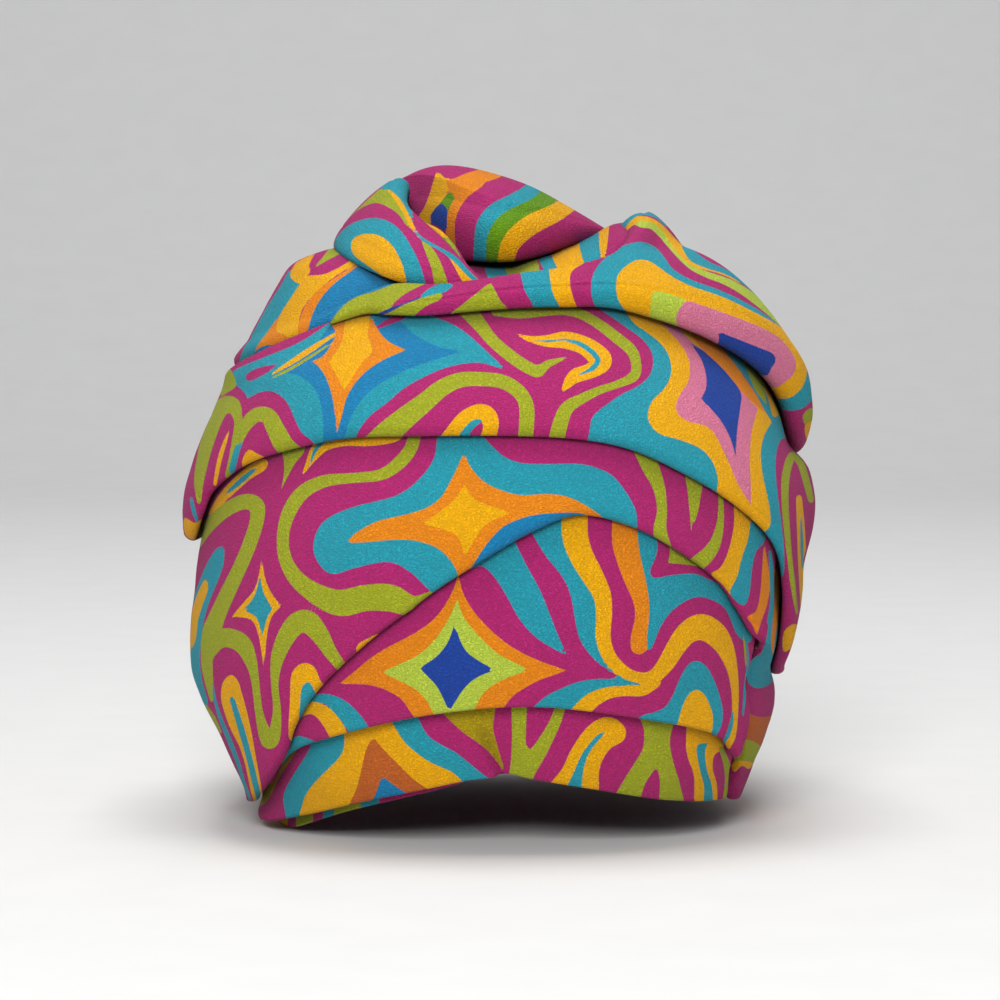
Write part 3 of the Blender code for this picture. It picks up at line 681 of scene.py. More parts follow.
# Print of each piece, on the print sheet: shapes from the lowest to the uppermost. A patch is
# the colour and its outline, where a doubled place is a sharp tip. A stripe is the colour and
# the places along its middle, each with half its width.
LEFT_WRAP_PRINT = (
    (LIME, ((416, 428, 6), (411, 448, 6.5), (398, 464, 6.5), (380, 475, 5.5), (352, 478, 5), (325, 481, 6),
        (303, 492, 7), (289, 512, 7), (283, 535, 6), (285, 558, 6.5), (296, 578, 8), (315, 593, 10),
        (340, 603, 13), (365, 598, 13), (390, 598, 13.5), (412, 606, 10), (430, 600, 8))),
    (LIME, ((196, 545, 5), (207, 528, 6), (225, 511, 6.5), (243, 502, 7.5), (256, 505, 8), (257, 520, 7),
        (250, 543, 7), (240, 567, 7), (229, 590, 7.5), (219, 612, 8), (211, 633, 9), (207, 655, 6),
        (208, 675, 5), (212, 700, 2))),
    (LIME, ((209, 652, 7), (218, 640, 9), (230, 638, 9.5), (243, 645, 9), (251, 662, 6), (255, 680, 4),
        (259, 712, 4), (265, 734, 6.5), (270, 741, 8), (275, 731, 6), (277, 710, 4), (275, 690, 3.5),
        (275, 674, 4.5), (278, 656, 7), (286, 637, 9), (297, 623, 10.5), (308, 622, 11), (320, 635, 9),
        (331, 653, 6.5), (344, 670, 5))),
    (YELLOW, ((262, 556), (262, 556), (265, 578), (272, 594), (282, 606), (282, 606), (272, 616),
        (267, 635), (264, 672), (264, 672), (259, 638), (251, 620), (231, 617), (231, 617), (244, 602),
        (256, 586))),
    (TEAL, ((260, 576), (260, 576), (264, 594), (273, 609), (273, 609), (267, 618), (262, 638), (262, 638),
        (257, 618), (243, 610), (243, 610), (254, 597))),
    (YELLOW, ((231, 675), (238, 681), (242, 694), (247, 712), (252, 735), (256, 758), (260, 780),
        (265, 812), (258, 812), (251, 792), (246, 768), (240, 748), (231, 730), (225, 714), (221, 698),
        (223, 682))),
    (TEAL, ((232, 699, 2.5), (237, 715, 3), (243, 735, 3.2), (249, 757, 3), (254, 778, 3),
        (260, 803, 2.5))),
    (YELLOW, ((289, 738), (290, 700), (291, 676), (297, 666), (306, 663), (315, 668), (320, 680),
        (327, 692), (318, 708), (300, 735))),
    (TEAL, ((299, 730), (300, 705), (302, 687), (308, 682), (313, 688), (316, 700), (306, 720))),
    (TEAL, ((224, 548), (216, 549), (206, 565), (198, 585), (192, 605), (188, 640), (190, 665), (195, 690),
        (204, 708), (208, 702), (202, 680), (200, 660), (201, 640), (204, 620), (210, 600), (217, 583),
        (223, 566))),
    (YELLOW, ((207, 580), (203, 582), (197, 595), (192, 612), (187, 645), (192, 648), (196, 638),
        (198, 620), (203, 604), (208, 590))),
    (TEAL, ((213, 684, 0.6), (215, 700, 1.4), (221, 720, 2), (230, 742, 2.4), (238, 763, 2),
        (244, 783, 1.6), (252, 804, 1.2))),
    (LIME, ((206, 706, 1), (213, 718, 2.5), (221, 733, 1))),
    (YELLOW, ((268, 462), (262, 459), (248, 466), (235, 477), (222, 491), (211, 508), (209, 515),
        (222, 504), (238, 490), (252, 478), (265, 470))),
    (TEAL, ((259, 466), (245, 474), (232, 486), (223, 497), (236, 488), (248, 478))),
    (YELLOW, ((302, 475), (306, 462), (310, 450), (318, 440), (340, 434), (360, 431), (402, 434),
        (395, 442), (370, 446), (345, 446), (328, 450), (318, 458), (308, 469))),
    (TEAL, ((311, 466, 0.6), (313, 455, 1.6), (319, 445, 2), (328, 438, 2.5))),
    (LIME, ((282, 448), (290, 442), (303, 440), (304, 452), (296, 462), (289, 474), (281, 490), (281, 490),
        (284, 474), (284, 462))),
    (YELLOW, ((357, 645), (365, 640), (378, 634), (372, 645), (358, 653))),
    (TEAL, ((441, 428), (434, 458), (418, 480), (395, 496), (350, 508), (322, 523), (313, 548), (322, 568),
        (335, 574), (355, 568), (388, 562), (410, 572), (437, 594), (460, 582), (500, 562), (560, 528),
        (600, 522), (633, 532), (637, 518), (634, 506), (626, 492), (614, 477), (600, 469), (580, 464),
        (545, 464), (522, 463), (505, 457), (490, 444), (472, 426))),
    (ORANGE, ((464, 451), (464, 451), (470, 466), (482, 480), (498, 489), (520, 495), (545, 494),
        (565, 496), (585, 505), (603, 519), (580, 520), (555, 525), (530, 532), (508, 546), (492, 560),
        (480, 568), (470, 576), (460, 585), (457, 572), (450, 560), (440, 550), (428, 544), (410, 540),
        (390, 540), (370, 542), (347, 543), (347, 543), (352, 536), (362, 529), (378, 521), (395, 517),
        (415, 512), (430, 506), (442, 496), (450, 482), (458, 466))),
    (MID_BLUE, ((468, 576), (478, 557), (490, 540), (506, 525), (530, 516), (555, 513), (584, 514),
        (584, 524), (560, 535), (520, 552), (480, 580))),
    (YELLOW, ((465, 484), (465, 484), (476, 500), (512, 513), (512, 513), (484, 526), (464, 559),
        (464, 559), (456, 535), (422, 524), (422, 524), (452, 502))),
    (LIME, ((640, 444, 9), (650, 466, 8.5), (659, 488, 6), (662, 510, 5), (660, 530, 6.5), (664, 550, 8))),
    (LIME, ((686, 466), (688, 495), (690, 515), (691, 531), (691, 531), (697, 515), (700, 500),
        (704, 466))),
    (LIME, ((720, 484, 2), (721, 515, 3), (717, 538, 5), (709, 553, 7), (697, 564, 8))),
    (YELLOW, ((735, 496), (734, 525), (728, 552), (720, 568), (711, 574), (722, 584), (733, 596),
        (738, 574), (742, 557), (748, 540), (753, 525), (750, 510))),
    (TEAL, ((752, 520), (748, 540), (742, 558), (737, 577), (730, 592), (738, 603), (746, 604), (750, 590),
        (752, 570), (756, 552), (764, 542), (764, 530))),
    (ORANGE, ((764, 545), (768, 565), (770, 585), (767, 605), (761, 622), (757, 637), (757, 637),
        (752, 624), (747, 617), (756, 611), (760, 595), (762, 572))),
    (TEAL, ((770, 552, 1.5), (772, 575, 2.5), (773, 600, 2.8), (772, 622, 5))),
    (TEAL, ((775, 610), (782, 640), (781, 660), (774, 680), (761, 688), (750, 685), (746, 672), (752, 657),
        (760, 655), (766, 640), (770, 618))),
    (ORANGE, ((776, 570, 2), (777, 600, 2.5), (775, 622, 2.5), (773, 640, 2), (773, 653, 0.8))),
    (RUST, ((738, 708), (750, 714), (760, 717), (771, 716), (780, 714), (770, 732), (762, 747), (750, 741),
        (736, 737), (736, 720))),
    (LIME, ((734, 744), (742, 741), (750, 740), (760, 746), (762, 757), (752, 764), (742, 761),
        (734, 759))),
    (YELLOW, ((732, 763), (742, 761), (753, 763), (749, 769), (742, 766), (734, 772))),
)
FRONT_CROSS_PRINT = (
    (ORANGE, ((458, 572), (458, 572), (462, 590), (470, 606), (480, 619), (495, 634), (512, 647),
        (535, 659), (568, 671), (568, 671), (545, 678), (530, 685), (512, 697), (497, 716), (470, 735),
        (430, 735), (412, 714), (402, 700), (390, 692), (370, 685), (339, 684), (339, 684), (355, 671),
        (372, 657), (392, 645), (415, 633), (435, 618), (448, 600), (455, 585))),
    (PALE_LIME, ((457, 596), (457, 596), (462, 614), (472, 628), (485, 642), (500, 655), (530, 670),
        (530, 670), (512, 676), (495, 684), (482, 695), (472, 714), (460, 730), (445, 730), (434, 714),
        (426, 700), (415, 689), (400, 681), (381, 672), (381, 672), (400, 664), (418, 655), (432, 643),
        (443, 628), (452, 612))),
    (ROYAL, ((455, 622), (455, 622), (460, 640), (470, 655), (495, 670), (495, 670), (476, 678),
        (463, 690), (449, 712), (449, 712), (443, 698), (435, 684), (419, 668), (419, 668), (436, 657),
        (448, 642))),
    (TEAL, ((468, 569), (482, 566), (495, 578), (507, 597), (520, 620), (538, 639), (568, 657), (568, 657),
        (558, 635), (549, 612), (540, 590), (528, 568), (517, 546), (510, 532), (480, 548))),
    (TEAL, ((530, 526), (532, 533), (545, 555), (563, 578), (571, 597), (575, 620), (580, 640), (592, 657),
        (606, 669), (624, 679), (640, 676), (620, 660), (600, 630), (600, 590), (575, 550), (572, 510))),
    (TEAL, ((530, 712), (545, 697), (560, 689), (578, 682), (598, 679), (620, 680), (643, 684), (643, 684),
        (625, 688), (610, 690), (598, 695), (587, 705), (577, 722), (560, 725), (535, 722))),
    (TEAL, ((632, 515), (645, 528), (657, 540), (656, 556), (650, 571), (655, 578), (672, 575), (695, 574),
        (710, 580), (730, 590), (745, 605), (752, 640), (738, 636), (726, 610), (712, 600), (698, 597),
        (684, 602), (670, 613), (660, 628), (650, 650), (640, 640), (640, 600), (634, 560))),
    (LIME, ((664, 540), (670, 548), (668, 563), (668, 563), (690, 565), (708, 568), (716, 562),
        (690, 545))),
    (ORANGE, ((625, 508, 12), (625, 540, 13), (629, 560, 12), (635, 580, 10.5), (641, 600, 8),
        (642, 618, 7), (639, 636, 8), (639, 646, 8.5))),
    (YELLOW, ((575, 505, 13), (575, 535, 13), (581, 555, 12), (592, 575, 11), (602, 595, 9), (604, 615, 8),
        (603, 635, 7.5), (607, 652, 7), (616, 665, 6.5), (630, 675, 5.5), (645, 678, 5.5), (657, 674, 7),
        (667, 662, 8.5), (676, 647, 9.5), (687, 633, 11), (701, 627, 13), (715, 634, 12), (725, 648, 9),
        (732, 668, 5.5), (735, 690, 3.8), (735, 712, 3.2), (732, 735, 4), (728, 746, 3))),
    (YELLOW, ((572, 722, 9), (590, 702, 8), (608, 693, 6), (625, 691, 5), (642, 690, 6), (655, 682, 6))),
    (TEAL, ((600, 679, 0.5), (620, 683, 1.5), (643, 684, 0.5))),
    (TEAL, ((625, 735), (640, 717), (655, 712), (665, 707), (673, 695), (679, 680), (687, 666), (696, 661),
        (706, 666), (714, 680), (720, 697), (723, 715), (718, 733), (700, 745), (660, 745))),
    (YELLOW, ((672, 742), (678, 722), (683, 705), (689, 694), (696, 690), (703, 693), (709, 703),
        (713, 717), (711, 733), (700, 742))),
    (TEAL, ((733, 712, 0.8), (731, 725, 2), (727, 737, 2), (722, 744, 1))),
    (LIME, ((741, 612, 0.8), (744, 635, 1.2), (746, 665, 0.8))),
    (TEAL, ((735, 598, 3), (742, 625, 1.2), (748, 655, 1), (745, 690, 1.4), (743, 715, 1))),
    (TEAL, ((308, 704, 3), (316, 699, 4), (327, 699, 5), (340, 707, 8), (353, 721, 9.5), (365, 740, 10))),
    (YELLOW, ((300, 713, 4), (310, 708, 6), (320, 711, 7), (331, 722, 8.5), (342, 742, 9))),
    (TEAL, ((258, 785), (272, 760), (284, 745), (294, 737), (304, 737), (316, 744), (300, 756), (280, 765),
        (270, 780))),
)
MIDDLE_WRAP_PRINT = (
    (TEAL, ((232, 372), (236, 384), (247, 399), (247, 399), (258, 393), (270, 391), (281, 396), (289, 406),
        (295, 420), (302, 433), (312, 441), (320, 452), (350, 450), (358, 432), (370, 416), (388, 402),
        (403, 389), (422, 378), (442, 369), (462, 364), (482, 363), (507, 371), (507, 371), (494, 358),
        (481, 346), (470, 336), (456, 326), (440, 319), (425, 314), (400, 310), (350, 312), (300, 342),
        (262, 358))),
    (MID_BLUE, ((330, 326), (316, 345), (300, 358), (280, 372), (280, 372), (300, 376), (314, 388),
        (320, 402), (323, 420), (324, 452), (334, 452), (344, 438), (349, 422), (357, 406), (369, 392),
        (386, 380), (408, 369), (434, 360), (462, 351), (462, 351), (440, 347), (420, 338), (406, 327),
        (396, 316), (380, 312), (350, 315))),
    (ORANGE, ((332, 322), (350, 312), (368, 310), (376, 327), (388, 341), (406, 350), (406, 350),
        (385, 359), (368, 370), (356, 382), (347, 397), (342, 415), (337, 434), (337, 434), (335, 415),
        (332, 396), (326, 378), (318, 366), (309, 361), (309, 361), (322, 357), (331, 345), (336, 333))),
    (YELLOW, ((347, 318), (368, 312), (368, 335), (372, 352), (362, 362), (352, 378), (343, 392),
        (343, 392), (338, 378), (329, 362), (329, 362), (337, 350), (343, 338))),
    (MAGENTA, ((377, 328, 1), (388, 322, 3), (402, 316, 3.5))),
    (TEAL, ((372, 317, 2), (385, 313, 3), (396, 309, 3))),
    (LIME, ((375, 446, 13), (388, 433, 12.5), (405, 418, 11), (425, 402, 9.5), (442, 388, 8.5),
        (460, 380, 7.5), (480, 379, 7), (500, 381, 7), (513, 387, 7), (523, 397, 7), (527, 412, 7.5),
        (525, 444, 7.5))),
    (YELLOW, ((436, 446), (450, 424), (462, 411), (478, 404), (491, 407), (498, 417), (498, 430),
        (492, 448), (478, 446), (483, 428), (480, 420), (470, 422), (456, 446))),
    (TEAL, ((454, 446), (465, 427), (476, 419), (482, 421), (472, 430), (464, 446))),
    (LIME, ((466, 308, 9), (480, 325, 7), (492, 340, 6), (508, 354, 6), (522, 364, 6), (533, 370, 6),
        (539, 372, 5), (546, 365, 4), (556, 361, 2.6), (568, 357, 0.4))),
    (LIME, ((496, 311, 5), (520, 313, 5.5), (545, 311, 5), (565, 310, 5), (583, 315, 4.8), (600, 325, 5),
        (617, 338, 5.5), (631, 350, 5.5), (636, 363, 5), (634, 376, 5), (618, 384, 3.8), (600, 390, 4),
        (583, 398, 5), (568, 407, 6.5), (561, 421, 7.5), (555, 446, 8))),
    (YELLOW, ((514, 333, 0.3), (530, 339, 3), (548, 341, 6), (565, 340, 8.5), (583, 345, 9),
        (596, 354, 10.5), (601, 362, 10.5), (590, 371, 7.5), (575, 376, 7), (566, 386, 3.5),
        (562, 392, 0.3))),
    (TEAL, ((534, 341, 0.2), (550, 341, 1.1), (565, 340, 1.2), (580, 344, 2.2), (592, 352, 2.6),
        (598, 360, 2.6), (594, 367, 2.6), (586, 372, 1.5), (577, 375, 0.3))),
    (TEAL, ((592, 298), (600, 309), (613, 318), (627, 328), (642, 339), (651, 351), (653, 364), (649, 376),
        (638, 386), (622, 394), (606, 405), (594, 415), (590, 427), (590, 452), (620, 462), (660, 478),
        (718, 505), (720, 480), (740, 440), (700, 340), (640, 300))),
    (YELLOW, ((618, 296), (632, 321), (645, 331), (658, 341), (667, 352), (671, 365), (670, 378),
        (663, 390), (653, 400), (648, 412), (650, 424), (660, 434), (680, 440), (701, 449), (713, 463),
        (718, 480), (718, 500), (740, 518), (756, 531), (764, 534), (770, 526), (770, 510), (766, 490),
        (762, 470), (761, 450), (765, 433), (774, 421), (762, 410), (750, 400), (735, 385), (700, 340),
        (680, 328), (660, 312), (640, 300))),
    (PINK, ((655, 312), (668, 330), (680, 343), (688, 357), (690, 370), (688, 382), (681, 393), (676, 405),
        (679, 415), (690, 422), (704, 425), (714, 433), (722, 448), (730, 465), (737, 482), (751, 506),
        (751, 506), (751, 490), (750, 470), (750, 450), (752, 430), (758, 408), (758, 408), (747, 398),
        (735, 383), (720, 364), (705, 351), (693, 343), (680, 328), (668, 316))),
    (YELLOW, ((676, 318), (690, 325), (712, 335), (706, 345), (692, 341), (682, 331))),
    (ORANGE, ((698, 334, 7), (708, 344, 7.5), (720, 357, 7), (731, 369, 6), (742, 384, 5.5), (753, 397, 4),
        (765, 411, 1.5))),
    (ROYAL, ((690, 343), (690, 343), (703, 351), (718, 364), (730, 377), (741, 393), (740, 410),
        (737, 432), (736, 458), (736, 458), (731, 440), (723, 424), (713, 411), (701, 399), (701, 399),
        (706, 388), (706, 375), (702, 361), (696, 351))),
    (TEAL, ((718, 338), (740, 350), (752, 358), (762, 375), (770, 395), (778, 412), (788, 437), (776, 427),
        (765, 411), (757, 396), (745, 377), (733, 361))),
    (LIME, ((742, 354), (754, 360), (761, 375), (765, 392), (767, 405), (767, 405), (757, 393),
        (750, 378))),
    (YELLOW, ((758, 364, 1), (766, 386, 2), (772, 402, 3), (775, 414, 3))),
    (TEAL, ((774, 421), (766, 432), (761, 450), (762, 470), (766, 490), (770, 510), (770, 526), (762, 536),
        (772, 552), (780, 576), (784, 572), (784, 550), (781, 520), (778, 497), (776, 475), (776, 457),
        (780, 441), (787, 436), (780, 425))),
    (LIME, ((770, 380, 1), (779, 398, 2.5), (788, 415, 3.5), (797, 432, 3), (806, 450, 1.5))),
    (LIME, ((774, 400, 0.8), (783, 420, 2.5), (791, 436, 2.5), (799, 452, 0.8))),
    (LIME, ((797, 614, 1), (793, 585, 2.5), (790, 560, 2.5), (787, 530, 3), (785, 500, 3.5), (786, 475, 4),
        (792, 456, 4), (800, 462, 3.5), (806, 480, 3.5), (811, 500, 3))),
    (YELLOW, ((799, 498, 3), (801, 530, 4), (802, 560, 4), (802, 605, 1.5))),
    (TEAL, ((801, 518, 0.7), (802, 545, 1.5), (802, 568, 0.7))),
    (YELLOW, ((784, 632), (796, 624), (798, 640), (784, 652))),
    (MAGENTA, ((246, 375), (258, 368), (277, 364), (277, 364), (268, 372), (250, 381))),
    (YELLOW, ((272, 374, 0.8), (290, 363, 2.4), (310, 350, 2.8), (335, 334, 1.5))),
    (LIME, ((272, 378, 0.8), (290, 369, 1.3), (310, 357, 1.3), (330, 344, 0.8))),
    (MAGENTA, ((225, 398), (230, 390), (237, 386), (247, 397), (240, 404), (228, 404))),
    (LIME, ((220, 395), (222, 380), (228, 368), (234, 376), (236, 386), (228, 392))),
    (LIME, ((199, 502, 2), (199, 480, 5), (205, 450, 6.5), (213, 424, 7.5), (221, 408, 8), (232, 405, 8),
        (238, 420, 4), (236, 440, 4), (231, 462, 3), (228, 475, 3))),
    (YELLOW, ((229, 431, 0.6), (224, 445, 2), (219, 462, 2.2), (215, 484, 1.8))),
    (TEAL, ((246, 432, 1.2), (237, 450, 3), (232, 470, 3.2))),
    (LIME, ((239, 440, 4), (246, 425, 6), (256, 415, 7), (268, 416, 8), (276, 430, 9), (285, 446, 9.5),
        (302, 456, 6))),
    (YELLOW, ((242, 462), (248, 450), (256, 453), (267, 460), (258, 470), (246, 474))),
    (TEAL, ((191, 498, 1.5), (194, 512, 2.2), (198, 523, 1))),
    (YELLOW, ((184, 518), (195, 523), (203, 519), (206, 530), (200, 540), (186, 536))),
)
FRONT_RIM = (
    (MID_BLUE, ((375, 264), (385, 260), (395, 264), (405, 270), (430, 280), (415, 286), (388, 288),
        (370, 293), (355, 298), (344, 306), (336, 317), (328, 334), (318, 340), (304, 350), (308, 330),
        (313, 313), (322, 297), (335, 283), (350, 272), (362, 264))),
    (LIME, ((322, 338), (334, 317), (344, 305), (356, 297), (372, 292), (388, 286), (402, 281), (416, 281),
        (428, 284), (414, 290), (401, 298), (393, 306), (378, 317), (355, 328), (336, 340))),
    (MAGENTA, ((391, 307), (402, 296), (414, 289), (428, 283), (440, 285), (428, 294), (415, 301),
        (400, 308))),
    (ROYAL, ((366, 321, 0.6), (385, 312, 1.6), (405, 304, 1.3), (421, 297, 0.6))),
    (TEAL, ((420, 297), (430, 288), (442, 283), (453, 285), (445, 292), (432, 297))),
    (LIME, ((378, 322), (392, 311), (408, 303), (425, 297), (441, 293), (441, 299), (428, 305), (417, 313),
        (405, 322))),
    (LIME, ((448, 318), (463, 304), (478, 292), (490, 282), (490, 282), (495, 290), (500, 300), (510, 312),
        (505, 320), (480, 318))),
)
RIGHT_ROLL_PRINT = FRONT_RIM + (
    (TEAL, ((522, 262), (523, 285), (530, 300), (542, 318), (568, 318), (556, 300), (551, 285),
        (552, 262))),
    (YELLOW, ((552, 260), (551, 285), (556, 300), (568, 318), (580, 318), (573, 297), (570, 283),
        (572, 271), (586, 260))),
    (TEAL, ((604, 318), (593, 301), (591, 287), (594, 272), (603, 260), (615, 250), (628, 244), (642, 242),
        (655, 247), (665, 258), (672, 268), (682, 275), (697, 282), (717, 289), (737, 298), (757, 309),
        (774, 321), (789, 334), (802, 349), (810, 365), (815, 385), (813, 398), (805, 407), (797, 410),
        (785, 410), (760, 400), (700, 355), (640, 330))),
    (YELLOW, ((640, 328), (624, 309), (618, 299), (616, 287), (618, 275), (626, 266), (637, 260),
        (649, 261), (660, 268), (673, 277), (691, 286), (712, 293), (732, 301), (752, 311), (771, 321),
        (786, 331), (798, 344), (805, 358), (807, 372), (803, 386), (797, 393), (789, 398), (775, 398),
        (755, 390), (700, 355), (660, 335))),
    (PINK, ((676, 332), (676, 317), (680, 307), (687, 300), (687, 300), (710, 308), (735, 317), (760, 327),
        (778, 337), (790, 350), (796, 363), (793, 375), (785, 382), (772, 388), (750, 375), (700, 350))),
    (PALE_LIME, ((652, 330), (651, 300), (653, 293), (659, 291), (670, 294), (687, 300), (687, 300),
        (680, 308), (676, 318), (677, 334))),
    (ROYAL, ((716, 324), (716, 324), (721, 332), (740, 340), (760, 348), (772, 353), (776, 360),
        (772, 367), (765, 376), (745, 366), (717, 350), (719, 340))),
    (YELLOW, ((620, 246, 0.8), (622, 233, 3), (630, 223, 3.5), (640, 219, 3), (652, 221, 2.5),
        (663, 229, 2.5), (672, 241, 4), (680, 250, 5), (687, 258, 5), (696, 265, 2.5), (710, 269, 2),
        (725, 274, 1.6), (740, 282, 1))),
    (PALE_LIME, ((636, 224, 1), (642, 224, 3.5), (652, 226, 3.2), (661, 234, 3), (669, 245, 2),
        (680, 258, 1.5), (692, 268, 2), (708, 275, 3), (725, 281, 3.5), (742, 290, 4), (757, 301, 4),
        (771, 313, 3.5), (782, 325, 2), (795, 342, 0.8))),
    (TEAL, ((618, 244, 2), (620, 231, 3), (628, 219, 3), (640, 213, 2), (655, 216, 1.5), (666, 226, 1))),
    (TEAL, ((685, 247, 3), (694, 257, 5), (708, 265, 3.5), (724, 271, 2.5), (738, 279, 1.8), (755, 293, 1),
        (790, 330, 0.6))),
    (LIME, ((803, 415), (812, 408), (817, 420), (810, 428), (805, 425))),
    (YELLOW, ((805, 426), (816, 420), (816, 437), (808, 442))),
)
LEFT_DRAPE_PRINT = (
    (TEAL, ((236, 375), (243, 350), (256, 327), (268, 305), (281, 285), (290, 270), (296, 282), (300, 285),
        (290, 299), (279, 316), (268, 332), (257, 348), (250, 362), (247, 378))),
    (YELLOW, ((376, 262), (360, 254), (345, 264), (325, 274), (308, 276), (300, 284), (290, 299),
        (280, 315), (276, 330), (285, 335), (297, 343), (298, 325), (303, 308), (315, 293), (330, 280),
        (345, 270), (362, 263))),
    (ORANGE, ((278, 318), (276, 330), (284, 335), (297, 343), (299, 322), (305, 307), (317, 291),
        (332, 280), (347, 270), (362, 263), (374, 264), (350, 275), (332, 287), (320, 300), (312, 316),
        (308, 332), (306, 350), (297, 353), (286, 352), (278, 347), (268, 345), (260, 348), (253, 358),
        (253, 358), (257, 346), (266, 334))),
    (MID_BLUE, ((252, 357), (258, 349), (270, 345), (280, 348), (288, 354), (270, 364), (255, 372),
        (246, 380), (243, 368))),
    (YELLOW, ((290, 274), (297, 261), (305, 251), (320, 243), (314, 255), (309, 265), (310, 272),
        (300, 283), (294, 281))),
    (LIME, ((315, 267), (322, 258), (330, 248), (338, 242), (352, 245), (354, 249), (340, 254),
        (328, 260))),
) + FRONT_RIM
FRONT_FOLD_PRINT = (
    (TEAL, ((334, 246), (342, 231), (355, 222), (372, 218), (388, 221), (401, 231), (411, 246), (419, 262),
        (424, 278), (428, 296), (400, 296), (370, 280), (348, 262))),
    (YELLOW, ((351, 246), (354, 238), (364, 234), (378, 235), (390, 243), (398, 255), (404, 270),
        (406, 288), (390, 281), (368, 266), (354, 255))),
    (LIME, ((345, 222), (362, 205), (372, 196), (382, 188), (392, 190), (400, 202), (407, 216), (413, 229),
        (407, 226), (398, 214), (386, 206), (374, 203), (358, 210))),
    (TEAL, ((381, 189), (390, 179), (404, 172), (411, 185), (412, 200), (413, 226), (406, 210), (398, 198),
        (391, 190))),
    (YELLOW, ((388, 190, 1), (397, 199, 2.4), (405, 212, 2.4), (412, 226, 2), (420, 238, 1.2))),
    (LIME, ((423, 241, 1.5), (431, 254, 4.5), (437, 268, 5.5), (443, 292, 7.5))),
    (YELLOW, ((446, 252), (456, 257), (467, 269), (484, 286), (470, 290), (461, 279), (454, 266))),
    (TEAL, ((414, 230, 1), (424, 240, 1.4), (440, 249, 1.6), (455, 259, 2.6), (468, 273, 2.4),
        (483, 287, 1.8))),
)
KNOT_LIP_PRINT = (
    (LIME, ((412, 226), (424, 221), (436, 222), (444, 229), (449, 238), (440, 238), (428, 232))),
    (YELLOW, ((427, 223), (438, 223), (446, 231), (449, 238), (436, 234))),
    (LIME, ((440, 238), (450, 239), (457, 250), (463, 264), (452, 257), (444, 247))),
)
TOP_ROLL_PRINT = (
    (YELLOW, ((437, 172), (445, 178), (456, 180), (450, 192), (442, 200), (436, 212), (431, 224),
        (412, 228), (424, 208), (431, 190))),
    (ORANGE, ((445, 181, 0.5), (456, 182, 4), (468, 180, 7), (482, 176, 7), (497, 171, 7))),
    (ORANGE, ((478, 182, 6), (466, 190, 6.5), (457, 202, 5.5), (452, 215, 4.5), (450, 230, 4.5),
        (452, 248, 4), (458, 264, 3))),
    (GREEN, ((440, 204), (448, 195), (465, 188), (465, 188), (456, 197), (449, 208), (446, 218),
        (443, 208))),
    (ROYAL, ((428, 222), (434, 210), (440, 204), (446, 207), (447, 216), (446, 232), (438, 226))),
    (TEAL, ((545, 176, 7), (530, 193, 9), (513, 203, 9), (496, 213, 10), (485, 226, 9), (481, 243, 7),
        (480, 272, 7))),
    (GREEN, ((556, 188, 9), (540, 204, 9), (523, 214, 10), (507, 224, 11), (496, 238, 9), (492, 255, 6),
        (491, 274, 6))),
    (YELLOW, ((575, 200, 8), (555, 213, 9), (534, 223, 10), (519, 234, 10), (509, 247, 9), (505, 270, 8))),
)
CROWN_WRAP_PRINT = (
    (TEAL, ((484, 262), (504, 258), (515, 280), (496, 290))),
    (LIME, ((504, 258), (531, 252), (539, 276), (515, 284))),
    (TEAL, ((538, 256), (552, 250), (564, 270), (551, 278))),
    (YELLOW, ((552, 250), (579, 234), (587, 266), (564, 274))),
    (TEAL, ((579, 234), (599, 218), (602, 258), (587, 268))),
    (YELLOW, ((599, 218), (609, 216), (606, 254), (601, 260))),
)
